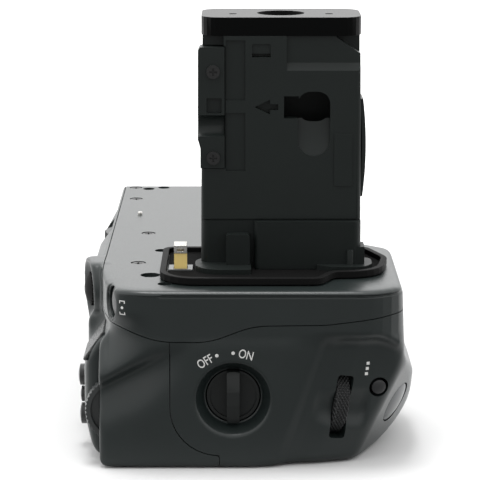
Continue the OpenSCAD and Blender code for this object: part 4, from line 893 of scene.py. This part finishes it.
def white_floor():
    """White paper, with painted shade in its colour. The camera sees it a little darker round the grip, a
    painted shade that deepens the grip's shadow; for the light that it throws back it is painted dark in
    front of the control end, standing in for shade there, and white elsewhere."""
    size, below = 3.0, 0.05
    m, nodes, links, bsdf = new_material("white paper")
    noise = nodes.new("ShaderNodeTexNoise")
    noise.inputs["Scale"].default_value = 40
    span = map_range(nodes, UNIT, (0.85, 0.95))
    links.new(noise.outputs["Fac"], span.inputs["Value"])
    links.new(span.outputs["Result"], bsdf.inputs["Roughness"])
    path = nodes.new("ShaderNodeLightPath")
    place = nodes.new("ShaderNodeTexCoord")
    part = nodes.new("ShaderNodeSeparateXYZ")
    links.new(place.outputs["Object"], part.inputs["Vector"])
    # Painted shade: for reflected and thrown-back light the paper is dark in front of the control end and
    # white behind it
    painted_front_shade = map_range(nodes, (-0.1, -0.055), (0.16, 0.95))
    links.new(part.outputs["X"], painted_front_shade.inputs["Value"])
    away = nodes.new("ShaderNodeVectorMath")
    away.operation = "LENGTH"
    links.new(place.outputs["Object"], away.inputs[0])
    # Painted shade: the camera sees the paper darker within 0.1 to 0.4 m of the grip, deepening the shadow
    # there
    painted_shade_round_grip = map_range(nodes, (0.1, 0.4), (0.68, 1))
    painted_shade_round_grip.interpolation_type = "SMOOTHSTEP"
    links.new(away.outputs["Value"], painted_shade_round_grip.inputs["Value"])
    seen = nodes.new("ShaderNodeMix")
    links.new(path.outputs["Is Camera Ray"], seen.inputs[0])
    links.new(painted_front_shade.outputs["Result"], seen.inputs[2])
    links.new(painted_shade_round_grip.outputs["Result"], seen.inputs[3])
    links.new(seen.outputs[0], bsdf.inputs["Base Color"])
    corners = np.array([[-1, -1, 0], [1, -1, 0], [1, 1, 0], [-1, 1, 0]]) * size / MM - [0, 0, below]
    floor = mesh_object("floor", corners, np.array([[0, 1, 2], [0, 2, 3]]))
    floor.data.materials.append(m)


def area_light(name, place, target, size, power):
    data = bpy.data.lights.new(name, "AREA")
    data.shape = "RECTANGLE"
    data.size, data.size_y = size
    data.energy = power
    o = bpy.data.objects.new(name, data)
    o.location = place
    o.rotation_euler = (Vector(target) - Vector(place)).to_track_quat("-Z", "Y").to_euler()
    bpy.context.scene.collection.objects.link(o)


def surroundings():
    """White to the camera and at least white in reflections; the light comes from above, behind and
    the sides, and little of it from the camera's side."""
    sides, above_behind = (0, 0.6, 0), (0.78, 0, 0.62)
    world = bpy.data.worlds.new("studio")
    bpy.context.scene.world = world
    world.use_nodes = True
    nodes, links = world.node_tree.nodes, world.node_tree.links
    background = nodes["Background"]
    place = nodes.new("ShaderNodeTexCoord")
    unsigned = nodes.new("ShaderNodeVectorMath")
    unsigned.operation = "ABSOLUTE"
    across = nodes.new("ShaderNodeVectorMath")
    across.operation = "DOT_PRODUCT"
    across.inputs[1].default_value = sides
    along = nodes.new("ShaderNodeVectorMath")
    along.operation = "DOT_PRODUCT"
    along.inputs[1].default_value = above_behind
    both = nodes.new("ShaderNodeMath")
    links.new(place.outputs["Generated"], unsigned.inputs[0])
    links.new(unsigned.outputs["Vector"], across.inputs[0])
    links.new(place.outputs["Generated"], along.inputs[0])
    links.new(across.outputs["Value"], both.inputs[0])
    links.new(along.outputs["Value"], both.inputs[1])
    span = map_range(nodes, (-0.7, 0.45), (0.03, 1.45))
    links.new(both.outputs["Value"], span.inputs["Value"])
    path = nodes.new("ShaderNodeLightPath")
    strength = span.outputs["Result"]
    for ray in ("Is Camera Ray", "Is Glossy Ray", "Is Transmission Ray"):
        most = nodes.new("ShaderNodeMath")
        most.operation = "MAXIMUM"
        links.new(strength, most.inputs[0])
        links.new(path.outputs[ray], most.inputs[1])
        strength = most.outputs["Value"]
    links.new(strength, background.inputs["Strength"])
    background.inputs["Color"].default_value = (1, 1, 1, 1)


white_floor()
surroundings()
area_light("overhead", (-0.04, 0.05, 0.8), (-0.05, 0, 0.04), (0.2, 0.2), 3.2)
area_light("behind", (0.9, 0.1, 0.6), (0, 0, 0.05), (1.2, 0.8), 3)

CAMERA = np.array([-568.1, -6.0, 158.2])
CAMERA_PITCH = 11.92
FOCAL_PIXELS, IMAGE_PIXELS, SENSOR = 2169, 480, 36
camera = bpy.data.objects.new("camera", bpy.data.cameras.new("camera"))
camera.data.sensor_width = SENSOR
camera.data.lens = SENSOR * FOCAL_PIXELS / IMAGE_PIXELS
camera.data.clip_start = 0.05
camera.location = CAMERA * MM
camera.rotation_euler = (math.radians(90 - CAMERA_PITCH), 0, math.radians(-90))
bpy.context.scene.collection.objects.link(camera)
bpy.context.scene.camera = camera
bpy.context.scene.view_settings.view_transform = "Standard"
